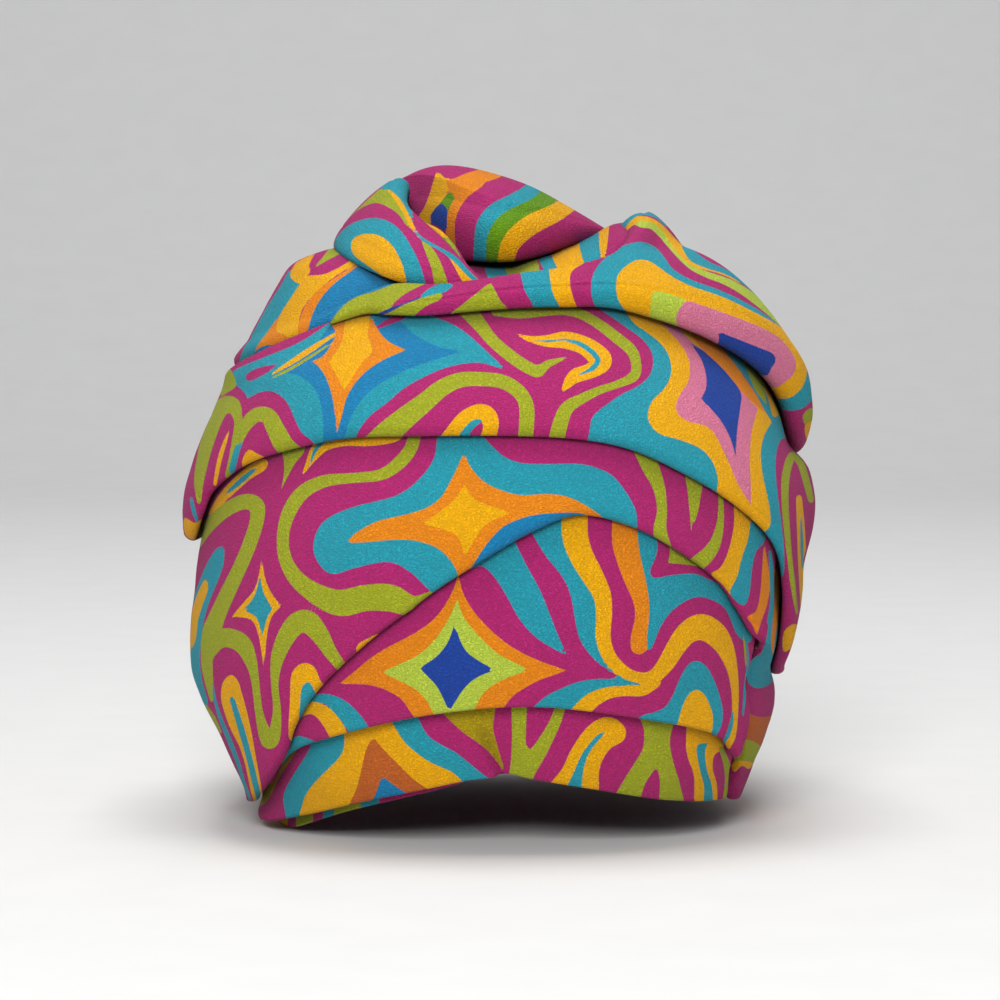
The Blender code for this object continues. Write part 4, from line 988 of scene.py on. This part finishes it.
BROW_BAND_PRINT = (
    # Olive patch at the left corner of the band: painted shade over the yellow there.
    (PAINTED_SHADE_OLIVE, ((256, 806), (264, 782), (275, 764), (288, 744), (300, 742), (292, 758), (281, 774),
        (268, 800))),
    (TEAL, ((315, 730), (311, 745), (303, 760), (292, 777), (284, 793), (284, 806), (289, 824), (302, 822),
        (303, 802), (311, 787), (324, 773), (338, 759), (344, 747), (347, 722))),
    (YELLOW, ((346, 722), (344, 747), (338, 759), (324, 773), (311, 787), (303, 802), (302, 826),
        (345, 818), (425, 800), (476, 790), (472, 782), (452, 772), (430, 762), (413, 750), (401, 737),
        (385, 710), (365, 712))),
    (RUST, ((373, 737), (373, 737), (366, 750), (362, 767), (357, 787), (350, 803), (344, 818), (400, 808),
        (432, 796), (412, 778), (398, 764), (385, 751))),
    (MID_BLUE, ((382, 776), (382, 776), (378, 788), (373, 804), (390, 803), (408, 796), (395, 786))),
    (TEAL, ((388, 710), (401, 737), (413, 750), (430, 762), (452, 772), (474, 790), (494, 784), (480, 772),
        (468, 762), (455, 752), (440, 744), (426, 733), (410, 705))),
    # Olive patch beside the pinched fold: painted shade of the fold.
    (PAINTED_SHADE_OLIVE, ((440, 704), (458, 728), (474, 740), (488, 751), (500, 766), (507, 778), (498, 748),
        (493, 728), (491, 700))),
    (LIME, ((519, 698, 8), (519, 730, 7), (518, 760, 7), (517, 790, 10))),
    (LIME, ((563, 698, 5), (556, 720, 5.5), (547, 738, 6.5), (538, 753, 8), (527, 768, 10),
        (516, 790, 10))),
    (YELLOW, ((548, 790), (562, 769), (570, 752), (580, 736), (592, 723), (606, 717), (619, 721),
        (626, 731), (623, 741), (611, 748), (603, 759), (599, 772), (596, 800), (570, 800))),
    (TEAL, ((563, 798), (574, 772), (581, 756), (590, 743), (599, 734), (608, 731), (608, 731), (598, 741),
        (588, 755), (583, 772), (579, 800))),
    (LIME, ((640, 708), (644, 730), (643, 748), (634, 764), (624, 780), (614, 802), (636, 806), (645, 784),
        (657, 766), (657, 766), (660, 782), (661, 808), (683, 808), (680, 785), (675, 768), (671, 752),
        (670, 738), (674, 708))),
    (YELLOW, ((690, 718), (686, 742), (688, 758), (694, 776), (696, 808), (715, 808), (717, 786),
        (713, 770), (714, 756), (722, 749), (724, 740), (710, 728))),
    (TEAL, ((697, 746), (708, 743), (708, 743), (705, 753), (707, 770), (712, 787), (712, 808), (704, 808),
        (704, 786), (699, 766))),
    (LIME, ((721, 748, 2), (727, 765, 3.5), (729, 782, 4), (726, 804, 4))),
)
CROWN_CAP_PRINT = (
    (TEAL, ((254, 792), (268, 798), (278, 830), (258, 830))),
    (YELLOW, ((277, 805), (288, 805), (286, 832), (277, 832))),
    (LIME, ((298, 800), (312, 800), (311, 832), (297, 832))),
    (TEAL, ((325, 798), (338, 796), (336, 828), (324, 828))),
    (LIME, ((338, 796), (363, 790), (362, 824), (336, 828))),
    (TEAL, ((363, 790), (378, 786), (377, 820), (362, 824))),
    (LIME, ((700, 790), (716, 790), (718, 815), (700, 815))),
)


def smooth_outline(places):
    """Fine closed outline through the places of a patch, sharp where a place is doubled."""
    places = [np.array(p, float) for p in places]
    count = len(places)
    fine = []
    for k in range(count):
        p0, p1, p2, p3 = (places[(k + step) % count] for step in (-1, 0, 1, 2))
        if np.array_equal(p1, p2):
            continue
        fine += [catmull_rom(p0, p1, p2, p3, cut / CURVE_STEPS) for cut in range(CURVE_STEPS)]
    return np.array(fine)


def patch_field(places, across, down):
    """How far inside a patch the points lie, in sheet units."""
    outline = smooth_outline(places)
    nearest = np.full(across.shape, np.inf)
    inside = np.zeros(across.shape, bool)
    for (x0, y0), (x1, y1) in zip(outline, np.roll(outline, -1, axis=0)):
        along, fall = x1 - x0, y1 - y0
        length = along * along + fall * fall + TINY
        part = np.clip(((across - x0) * along + (down - y0) * fall) / length, 0.0, 1.0)
        nearest = np.minimum(nearest, (across - x0 - part * along) ** 2 + (down - y0 - part * fall) ** 2)
        if y0 != y1:
            crosses = (down >= min(y0, y1)) & (down < max(y0, y1))
            inside ^= crosses & (across < x0 + (down - y0) / fall * along)
    distance = np.sqrt(nearest)
    return np.where(inside, distance, -distance)


def stripe_field(places, across, down):
    """How far inside a stripe of changing width the points lie, in sheet units."""
    fine = even_curve(places, CURVE_STEPS)
    best = np.full(across.shape, -np.inf)
    for (x0, y0, h0), (x1, y1, h1) in zip(fine, fine[1:]):
        along, fall = x1 - x0, y1 - y0
        length = along * along + fall * fall + TINY
        part = np.clip(((across - x0) * along + (down - y0) * fall) / length, 0.0, 1.0)
        distance = np.hypot(across - x0 - part * along, down - y0 - part * fall)
        best = np.maximum(best, h0 + part * (h1 - h0) - distance)
    return best


def drawn_fields(shapes, across, down):
    """Fields of one piece's drawing, painted shape by shape on a magenta ground."""
    fields = np.full((COLOUR_COUNT, len(across)), -FAR)
    fields[MAGENTA] = FAR
    for colour, places in shapes:
        span = np.array(places, float)
        low, high = span[:, :2].min(0) - SHAPE_MARGIN, span[:, :2].max(0) + SHAPE_MARGIN
        near = (across > low[0]) & (across < high[0]) & (down > low[1]) & (down < high[1])
        if not near.any():
            continue
        field = stripe_field if len(places[0]) == 3 else patch_field
        part = fields[:, near]
        paint(part, field(places, across[near], down[near]) * SHEET_UNIT, colour)
        fields[:, near] = part
    return np.clip(fields, -FAR, FAR)


def bend_sheet(turn, up):
    """Places on the sheet of the stars, bent so that its rows and columns wander. Its waves go
    round a whole number of times, so that the sheet has no seam at the back."""
    angle = np.radians(turn)
    t = np.asarray(up, float)
    across = angle * MEAN_RADIUS + BROAD_BEND * np.sin(t / 15.0 + 0.6 * np.sin(4 * angle))
    across = across + FINE_BEND * np.sin(t / 8.0 + 5 * angle)
    return across, t + BROAD_BEND * np.sin(6 * angle + 0.7) + FINE_BEND * np.sin(11 * angle - t / 21.0)


def star_print(turn, up):
    """Fields of the star print at places of the chart."""
    rng = np.random.default_rng(STAR_SEED)
    s_bent, t_bent = bend_sheet(turn, up)
    full = 2 * np.pi * MEAN_RADIUS
    near = []
    cores = []
    for row in STAR_ROWS:
        for column in range(STARS_ROUND):
            shift = rng.uniform(-STAR_SHIFT_ROUND, STAR_SHIFT_ROUND)
            place_s = (column + 0.5 * (row % 2) + shift) * full / STARS_ROUND
            place_t = row * STAR_STEP_UP + rng.uniform(-STAR_SHIFT_UP, STAR_SHIFT_UP)
            stretch = rng.uniform(*STAR_STRETCH)
            cores.append(STAR_CORES[int(rng.integers(0, len(STAR_CORES)))])
            x = np.abs((s_bent - place_s + full / 2) % full - full / 2) / stretch
            y = np.abs(t_bent - place_t) * stretch
            radius = np.hypot(x, y)
            power = STAR_PINCH + STAR_ROUNDING * np.clip(radius / STAR_RADIUS, 0.0, 1.0)
            pointed = ((x + 0.01) ** power + (y + 0.01) ** power) ** (1 / power)
            near.append(pointed * (1.0 - STAR_HEART * np.exp(-radius / STAR_HEART_RADIUS)))
    near = np.array(near)
    low = near.min(axis=0)
    merged = low - STAR_MERGE * np.log(np.exp(-(near - low) / STAR_MERGE).sum(axis=0))
    fields = np.full((COLOUR_COUNT, len(s_bent)), -FAR)
    start = -FAR
    for end, colour in OUTLINES:
        fields[colour] = np.maximum(fields[colour], np.minimum(merged - start, end - merged))
        start = end
    for core, star in zip(cores, near):
        for size, colour in core[::-1]:
            paint(fields, size - star, colour)
    return np.clip(fields, -FAR, FAR)


def store_print(mesh, fields):
    """Keep the colour fields on the mesh, as four vectors a vertex."""
    for group, name in enumerate(PRINT_LAYERS):
        layer = mesh.attributes.new(name, "FLOAT_VECTOR", "POINT")
        values = np.ascontiguousarray(fields[3 * group:3 * group + 3].T, dtype=np.float32)
        layer.data.foreach_set("vector", values.ravel())


def finish_piece(name, mesh, chart, materials, drawing):
    """Object with its print, riding on the body in place of its solid. The drawn print fades
    into the star print where the cloth turns away from the front."""
    points, normals = vertex_arrays(mesh)
    towards = view_axes()[0] - points
    towards /= np.linalg.norm(towards, axis=1, keepdims=True)
    facing = np.einsum("ij,ij->i", normals, towards)
    weight = smooth_step(facing, *(CROWN_FADE if name in CROWN_PIECES else SIDE_FADE))
    fields = star_print(chart[:, 0], chart[:, 1]) * (1 - weight)
    fields += drawn_fields(drawing, *on_sheet(points)) * weight
    store_print(mesh, fields)
    item = bpy.data.objects.new("cloth_" + name, mesh)
    bpy.context.scene.collection.objects.link(item)
    for material in materials:
        mesh.materials.append(material)
    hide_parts(name)
    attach(item, BODY)
    return item


def roll_relief(turns, ups, across):
    """Hollow behind the rim of the thick roll, deepest beside its knob."""
    return -blurred(ROLL_HOLLOW, 1, across, HOLLOW_BLUR) * window(turns, 35.0, 58.0, 100.0, 135.0)


def wrap_relief(turns, ups, across):
    """Swelling of the middle wrap under the low side of the roll."""
    return WRAP_SWELLING * window(turns, 60.0, 80.0, 108.0, 135.0) * window(ups, 60.0, 82.0, 90.0, 100.0)


def brow_relief(turns, ups, across):
    """Pinched fold that rises from the top of the front hem's arch."""
    from_fold = (turns - np.interp(ups, PINCH_UPS, PINCH_TURNS)) * FRONT_MM_PER_DEGREE
    groove = -PINCH_DEPTH * np.exp(-(from_fold / PINCH_HALF_WIDTH) ** 2)
    swelling = PINCH_SWELLING * window(from_fold, -14.0, -4.0, -2.5, 0.0)
    return (groove + swelling) * window(ups, -30.0, -8.0, 13.0, 20.0)


def band(name, rows, drawing, puff_span, widest, crease, seed, closed=False, taper=1.0, relief=None):
    """Folded band of cloth through the sections of its table, in a fine mesh. puff_span is the
    part across it that puffs, widest its greatest width, and crease the depth of its dents."""
    stations = smooth_rows(rows, closed, FINE_STEP)
    marked = [(row, 1.0) for row in stations] if closed else end_stations(stations)
    outer_cuts = int(widest / FINE_STEP)
    inner_cuts = max(FEWEST_INNER_CUTS, outer_cuts // 4)
    turns, ups, offsets, outsides, places = [], [], [], [], []
    for row, factor in marked:
        turn_low, up_low, turn_high, up_high, lift_low, lift_high, thick, puff = row
        low_edge = place(turn_low, up_low, MIDDLE_OFFSET)
        width = np.linalg.norm(low_edge - place(turn_high, up_high, MIDDLE_OFFSET))
        section = fine_section(width, thick, puff, puff_span, outer_cuts, inner_cuts, taper)
        across, height, outside = section
        across, height = shrink_section(across, height, thick, factor, width)
        places.append(across)
        turns.append(turn_low + (turn_high - turn_low) * across)
        ups.append(up_low + (up_high - up_low) * across)
        offsets.append(lift_low + (lift_high - lift_low) * across + height)
        outsides.append(outside)
    turns, ups, offsets, outsides, places = (np.array(v) for v in (turns, ups, offsets, outsides, places))
    if relief:
        offsets = offsets + relief(turns, ups, places) * outsides
    offsets = offsets - crease * soft_dents(turns, ups, seed) * outsides
    mesh = build_mesh(name, trim_sides(place(turns, ups, offsets)), closed)
    chart = np.stack([turns.ravel(), ups.ravel()], axis=1)
    if not closed:
        chart = np.vstack([chart, chart[:1], chart[-1:]])
    item = finish_piece(name, mesh, chart, [printed_cloth], drawing)


def from_flat_crown(x, y):
    """Turn and height of a place on the flattened crown."""
    return np.degrees(np.arctan2(x, -y)), APEX_UP - np.hypot(x, y)


def bundle_end(first, following):
    """Rows that round one end of the bundle, each with its shrink factor."""
    gap = (following - first) * BUNDLE_END_GAP
    return [(first + gap * step, factor) for step, factor in enumerate(BUNDLE_ENDS)]


def crown_bundle(name, rows, drawing):
    """Hood-like bundle whose sections run from front to back over the crown."""
    fine = even_curve(rows, int(np.ceil(BUNDLE_ROW_GAP / FINE_STEP)) + 1)
    marked = bundle_end(fine[0], fine[1]) + [(row, 1.0) for row in fine[1:-1]]
    marked += bundle_end(fine[-1], fine[-2])[::-1]
    points, charts = [], []
    outer_cuts = int(BUNDLE_GIRTH / FINE_STEP)
    for row, factor in marked:
        x_front, y_front, x_back, y_back, lift, thick, puff = row
        width = np.hypot(x_back - x_front, y_back - y_front)
        section = fine_section(width, thick, puff, (0.0, 1.0), outer_cuts, outer_cuts // 3, 1.0)
        across, height = shrink_section(*section[:2], thick, factor, width)
        x = x_front + (x_back - x_front) * across
        y = y_front + (y_back - y_front) * across
        turn, up = from_flat_crown(x, y)
        points.append(place(turn, up, lift + height))
        charts.append(np.stack([x, y], axis=1))
    points = np.array(points)
    end = len(BUNDLE_ENDS)
    for _ in range(BUNDLE_SMOOTHING):
        before, after = points[end - 1:-end - 1], points[end + 1:1 - end]
        points[end:-end] = 0.25 * before + 0.5 * points[end:-end] + 0.25 * after
    mesh = build_mesh(name, trim_sides(points), False)
    flat = np.vstack(charts)
    flat = np.vstack([flat, flat[:1], flat[-1:]])
    chart = np.stack([np.degrees(flat[:, 0] / MEAN_RADIUS), flat[:, 1]], axis=1)
    item = finish_piece(name, mesh, chart, [printed_cloth], drawing)


def cap_hem_up(turns):
    """Height of the inner cap's hem at each turn, smoothed along the hem."""
    return blurred(CAP_HEM, 1, turns, HEM_BLUR, samples=11, period=360.0)


def crown_edge_up(turns):
    """Height of the crown wrap's edge, which is level all round."""
    return np.full_like(turns, CROWN_EDGE_UP)


def crown_relief(turns, ups):
    """Cloth that climbs from the foot of the bundle to the knob of the roll."""
    angle = np.radians(turns)
    reach = APEX_UP - ups
    x, y = reach * np.sin(angle), -reach * np.cos(angle)
    climb = np.interp(x, *np.array(VALLEY_CLIMB).T)
    return climb * window(y, -62.0, -30.0, 22.0, 48.0)


def dome(name, edge_up, inner, outer, materials, slot, drawing, relief=None):
    """Domed cloth with a rounded hem and two faces, up to the top of the head."""
    columns = int(2 * np.pi * MEAN_RADIUS / DOME_STEP)
    turns = np.arange(columns) * 360.0 / columns - 180.0
    edges = edge_up(turns)
    rows = int(DOME_HEIGHT / DOME_STEP)
    half_wall = (outer - inner) / 2
    climb = [edges + half_wall + (APEX_UP - edges - half_wall) * part * DOME_TOP
             for part in np.linspace(0.0, 1.0, rows + 1)[1:-1]]
    rings = [(ups, np.full(columns, inner)) for ups in climb[::-1]]
    for angle in np.linspace(-np.pi / 2, np.pi / 2, DOME_HEM_RINGS):
        offset = inner + half_wall * (1 + np.sin(angle))
        rings.append((edges + half_wall * (1 - np.cos(angle)), np.full(columns, offset)))
    rings += [(ups, np.full(columns, outer)) for ups in climb]
    turn_grid = np.broadcast_to(turns, (len(rings), columns))
    up_grid = np.array([ring[0] for ring in rings])
    offset_grid = np.array([ring[1] for ring in rings])
    if relief:
        offset_grid = offset_grid + relief(turn_grid, up_grid) * (offset_grid > (inner + outer) / 2)
    points = trim_sides(place(turn_grid, up_grid, offset_grid))
    mesh = build_mesh(name, points, False)
    chart = np.stack([turn_grid.ravel(), up_grid.ravel()], axis=1)
    chart = np.vstack([chart, [[0.0, APEX_UP]], [[0.0, APEX_UP]]])
    item = finish_piece(name, mesh, chart, materials, drawing)
    if len(materials) > 1:
        inside_faces = (len(rings) // 2 - 2) * columns
        flags = np.zeros(len(mesh.polygons), dtype=np.int32)
        flags[:inside_faces] = 1
        flags[-2 * columns:-columns] = 1
        mesh.polygons.foreach_set("material_index", flags)


def hemisphere(count):
    """Directions over a half sphere, most of them near its pole."""
    step = np.arange(count)
    spin = step * np.pi * (3.0 - 5.0 ** 0.5)
    rise = np.sqrt(1.0 - (step + 0.5) / count)
    out = np.sqrt(1.0 - rise * rise)
    return np.stack([out * np.cos(spin), out * np.sin(spin), rise], axis=-1)


def shade_creases():
    """Store on every piece a painted shade for its creases: how open each point lies, from rays to the
    cloth around it, kept as a factor that darkens its colour.
    """
    pieces = [item for item in bpy.context.scene.objects if item.name.startswith("cloth_")]
    verts, faces = [], []
    for item in pieces:
        start = len(verts)
        verts += [v.co.copy() for v in item.data.vertices]
        faces += [[start + k for k in face.vertices] for face in item.data.polygons]
    tree = BVHTree.FromPolygons(verts, faces)
    rays = hemisphere(CREASE_RAYS)
    for item in pieces:
        mesh = item.data
        points, normals = vertex_arrays(mesh)
        points = points * MM
        slanting = np.abs(normals[:, 2:]) < UPRIGHT
        side = np.cross(normals, np.where(slanting, (0.0, 0.0, 1.0), (1.0, 0.0, 0.0)))
        side /= np.linalg.norm(side, axis=1, keepdims=True) + TINY
        other = np.cross(normals, side)
        closed = np.zeros(len(points))
        starts = [Vector(p) for p in points + normals * CREASE_START]
        for ray in rays:
            aims = side * ray[0] + other * ray[1] + normals * ray[2]
            for index, (origin, aim) in enumerate(zip(starts, aims)):
                hit = tree.ray_cast(origin, Vector(aim), CREASE_REACH)[3]
                if hit is not None:
                    closed[index] += 1.0 - hit / CREASE_REACH
        closed = closed / len(rays)
        edges = np.zeros(2 * len(mesh.edges), dtype=np.int64)
        mesh.edges.foreach_get("vertices", edges)
        first, second = edges[::2], edges[1::2]
        for _ in range(CREASE_BLURS):
            total, count = closed.copy(), np.ones(len(closed))
            np.add.at(total, first, closed[second])
            np.add.at(total, second, closed[first])
            np.add.at(count, first, 1.0)
            np.add.at(count, second, 1.0)
            closed = total / count
        # Painted shade: the more closed in a point lies, the darker its colour.
        shade = np.clip(1.0 - CREASE_DEPTH * closed, 0.0, 1.0)
        layer = mesh.attributes.new(CREASE_LAYER, "FLOAT", "POINT")
        layer.data.foreach_set("value", shade.astype(np.float32))


class Nodes:
    """Short ways to add and join nodes of one material."""

    def __init__(self, name):
        self.material = bpy.data.materials.new(name)
        self.material.use_nodes = True
        self.tree = self.material.node_tree
        self.shader = self.tree.nodes["Principled BSDF"]

    def add(self, kind, **settings):
        node = self.tree.nodes.new(kind)
        for key, value in settings.items():
            setattr(node, key, value)
        return node

    def join(self, out, into):
        self.tree.links.new(out, into)

    def feed(self, socket, value):
        """Give a socket a number, a colour, or another node's output."""
        if isinstance(value, (int, float)):
            socket.default_value = value
        elif isinstance(value, tuple):
            socket.default_value = (*value, 1.0)
        else:
            self.join(value, socket)

    def math(self, operation, *values, clamp=False):
        node = self.add("ShaderNodeMath", operation=operation, use_clamp=clamp)
        for socket, value in zip(node.inputs, values):
            self.feed(socket, value)
        return node.outputs[0]

    def mix(self, factor, first, second, blend="MIX"):
        node = self.add("ShaderNodeMix", data_type="RGBA", blend_type=blend)
        for socket, value in ((node.inputs[0], factor), (node.inputs[6], first), (node.inputs[7], second)):
            self.feed(socket, value)
        return node.outputs[2]

    def noise(self, scale, detail=2.0, stretch=(1.0, 1.0, 1.0), turn=(0.0, 0.0, 0.0), distortion=0.0):
        texture = self.add("ShaderNodeTexNoise")
        texture.inputs["Distortion"].default_value = distortion
        texture.inputs["Scale"].default_value = scale
        texture.inputs["Detail"].default_value = detail
        texture.inputs["Roughness"].default_value = 0.5
        mapping = self.add("ShaderNodeMapping")
        mapping.inputs["Scale"].default_value = stretch
        mapping.inputs["Rotation"].default_value = turn
        self.join(self.add("ShaderNodeTexCoord").outputs["Object"], mapping.inputs["Vector"])
        self.join(mapping.outputs[0], texture.inputs["Vector"])
        return texture.outputs["Fac"]


def stretched(nodes, value, low, high):
    """A noise value spread over 0 to 1 between two of its levels."""
    spread = nodes.add("ShaderNodeMapRange")
    spread.inputs["From Min"].default_value = low
    spread.inputs["From Max"].default_value = high
    nodes.join(value, spread.inputs["Value"])
    return spread.outputs[0]


def crepe(nodes):
    """Crinkled crepe relief: fine squiggled grains, and a broader unevenness of the cloth."""
    grain = nodes.noise(GRAIN_SCALE, 1.0, GRAIN_STRETCH, GRAIN_TURN, GRAIN_DISTORTION)
    fine = stretched(nodes, grain, *GRAIN_LEVELS)
    broad = nodes.noise(BROAD_SCALE)
    bump = nodes.add("ShaderNodeBump")
    bump.inputs["Strength"].default_value = 1.0
    bump.inputs["Distance"].default_value = GRAIN_HEIGHT
    nodes.join(fine, bump.inputs["Height"])
    nodes.join(bump.outputs["Normal"], nodes.shader.inputs["Normal"])
    return fine, broad


def cloth_surface(nodes):
    """Soft matt finish of brushed cloth."""
    nodes.shader.inputs["Roughness"].default_value = 0.78
    nodes.shader.inputs["Specular IOR Level"].default_value = 0.12
    nodes.shader.inputs["Sheen Weight"].default_value = 0.05
    nodes.shader.inputs["Sheen Roughness"].default_value = 0.45


def make_printed_cloth():
    """Printed cloth: the colour that each point lies furthest inside, on a crepe ground, with painted shade
    in the creases and in the hollows of the grain.
    """
    nodes = Nodes("printed_crepe")
    values = []
    for name in PRINT_LAYERS:
        attribute = nodes.add("ShaderNodeAttribute", attribute_name=name)
        split = nodes.add("ShaderNodeSeparateXYZ")
        nodes.join(attribute.outputs["Vector"], split.inputs[0])
        values += [split.outputs[k] for k in range(3)]
    best, colour = values[0], COLOURS[0]
    for index in range(1, COLOUR_COUNT):
        ahead = nodes.math("SUBTRACT", values[index], best)
        wins = nodes.math("MULTIPLY_ADD", ahead, PRINT_SHARPNESS, 0.5, clamp=True)
        colour = nodes.mix(wins, colour, COLOURS[index])
        best = nodes.math("MAXIMUM", best, values[index])
    fine, broad = crepe(nodes)
    shade = nodes.math("MULTIPLY_ADD", broad, SHADE_BROAD, SHADE_BASE)
    # Painted shade of the crepe's relief: darker colour in the hollows of the grain.
    shade = nodes.math("MULTIPLY_ADD", fine, PAINTED_GRAIN_SHADE, shade)
    # Painted shade in the creases: the crease_shade attribute darkens the colour.
    crease = nodes.add("ShaderNodeAttribute", attribute_name=CREASE_LAYER)
    shade = nodes.math("MULTIPLY", shade, crease.outputs["Fac"])
    nodes.join(nodes.mix(1.0, colour, shade, "MULTIPLY"), nodes.shader.inputs["Base Color"])
    cloth_surface(nodes)
    return nodes.material


def make_lining():
    """Plain inside of the cap, in deep magenta."""
    nodes = Nodes("cap_lining")
    fine, broad = crepe(nodes)
    deep, bright, grain = LINING_COLOURS
    colour = nodes.mix(broad, deep, bright)
    colour = nodes.mix(nodes.math("MULTIPLY", fine, 0.5), colour, grain)
    nodes.join(colour, nodes.shader.inputs["Base Color"])
    cloth_surface(nodes)
    return nodes.material


def make_plain(name, light, dark, scale):
    """Plain matt surface of the studio, with a faint unevenness."""
    nodes = Nodes(name)
    nodes.join(nodes.mix(nodes.noise(scale), light, dark), nodes.shader.inputs["Base Color"])
    nodes.shader.inputs["Roughness"].default_value = 0.9
    return nodes.material


def add_camera():
    """Camera at the photograph's view, which takes in the whole print sheet."""
    place_mm, right, up, forward = view_axes()
    data = bpy.data.cameras.new("camera")
    data.sensor_width = SENSOR_WIDTH
    data.lens = SENSOR_WIDTH * SHEET_REACH / SHEET_SIZE
    camera = bpy.data.objects.new("camera", data)
    camera.location = place_mm * MM
    camera.rotation_euler = Vector(forward).to_track_quat("-Z", "Y").to_euler()
    bpy.context.scene.collection.objects.link(camera)
    bpy.context.scene.camera = camera


def area_light(name, location, aim, size, watts):
    """Soft square light, placed in metres and aimed at a point."""
    data = bpy.data.lights.new(name, "AREA")
    data.size = size
    data.energy = watts
    light = bpy.data.objects.new(name, data)
    light.location = location
    light.rotation_euler = (Vector(aim) - Vector(location)).to_track_quat("-Z", "Y").to_euler()
    bpy.context.scene.collection.objects.link(light)


def add_studio():
    """Pale floor that curves up into a backdrop, and soft light from the front and above."""
    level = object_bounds()[0][2] - FLOOR_GAP
    profile = [(FLOOR_FRONT, level)]
    for angle in np.linspace(0.0, np.pi / 2, SWEEP_STEPS):
        back, rise = SWEEP_RADIUS * np.sin(angle), SWEEP_RADIUS * (1 - np.cos(angle))
        profile.append((SWEEP_START + back, level + rise))
    profile.append((SWEEP_START + SWEEP_RADIUS, SWEEP_TOP))
    verts = [(side * FLOOR_REACH, y, z) for y, z in profile for side in (-1, 1)]
    faces = [(2 * k, 2 * k + 1, 2 * k + 3, 2 * k + 2) for k in range(len(profile) - 1)]
    mesh = bpy.data.meshes.new("floor")
    mesh.from_pydata(verts, [], faces)
    mesh.shade_smooth()
    floor = bpy.data.objects.new("floor", mesh)
    bpy.context.scene.collection.objects.link(floor)
    mesh.materials.append(make_plain("floor_paint", FLOOR_LIGHT, FLOOR_DARK, FLOOR_GRAIN))
    for light in LIGHTS:
        area_light(*light)
    world = bpy.data.worlds.new("studio")
    world.use_nodes = True
    background = world.node_tree.nodes["Background"]
    background.inputs["Color"].default_value = WORLD_COLOUR
    background.inputs["Strength"].default_value = WORLD_STRENGTH
    bpy.context.scene.world = world
    bpy.context.scene.view_settings.view_transform = "Standard"


printed_cloth = make_printed_cloth()
lining = make_lining()

add_camera()

dome("crown_cap", cap_hem_up, -CAP_WALL, 0.0, [printed_cloth, lining], "inner_cloth", CROWN_CAP_PRINT)
dome("crown_wrap", crown_edge_up, CROWN_LIFT, CROWN_LIFT + CROWN_WALL, [printed_cloth], "printed_cloth",
     CROWN_WRAP_PRINT, crown_relief)
band("brow_band", BROW_BAND, BROW_BAND_PRINT, (0.0, 0.5), 60.0, crease=0.5, seed=3, relief=brow_relief)
band("front_cross", FRONT_CROSS, FRONT_CROSS_PRINT, (0.0, 0.75), 80.0, crease=0.5, seed=4)
band("left_wrap", LEFT_WRAP, LEFT_WRAP_PRINT, (0.0, 0.8), 120.0, crease=0.6, seed=5, closed=True)
band("middle_wrap", MIDDLE_WRAP, MIDDLE_WRAP_PRINT, (0.0, 0.7), 85.0, crease=0.5, seed=6, closed=True,
     relief=wrap_relief)
band("left_drape", LEFT_DRAPE, LEFT_DRAPE_PRINT, (0.2, 1.0), 75.0, crease=1.0, seed=7)
band("right_roll", RIGHT_ROLL, RIGHT_ROLL_PRINT, (0.0, 1.0), 95.0, crease=0.6, seed=8, relief=roll_relief)
band("front_fold", FRONT_FOLD, FRONT_FOLD_PRINT, (0.0, 1.0), 35.0, crease=0.5, seed=9, taper=0.55)
band("knot_lip", KNOT_LIP, KNOT_LIP_PRINT, (0.0, 1.0), 25.0, crease=0.4, seed=10)
crown_bundle("top_roll", TOP_ROLL, TOP_ROLL_PRINT)
shade_creases()
add_studio()
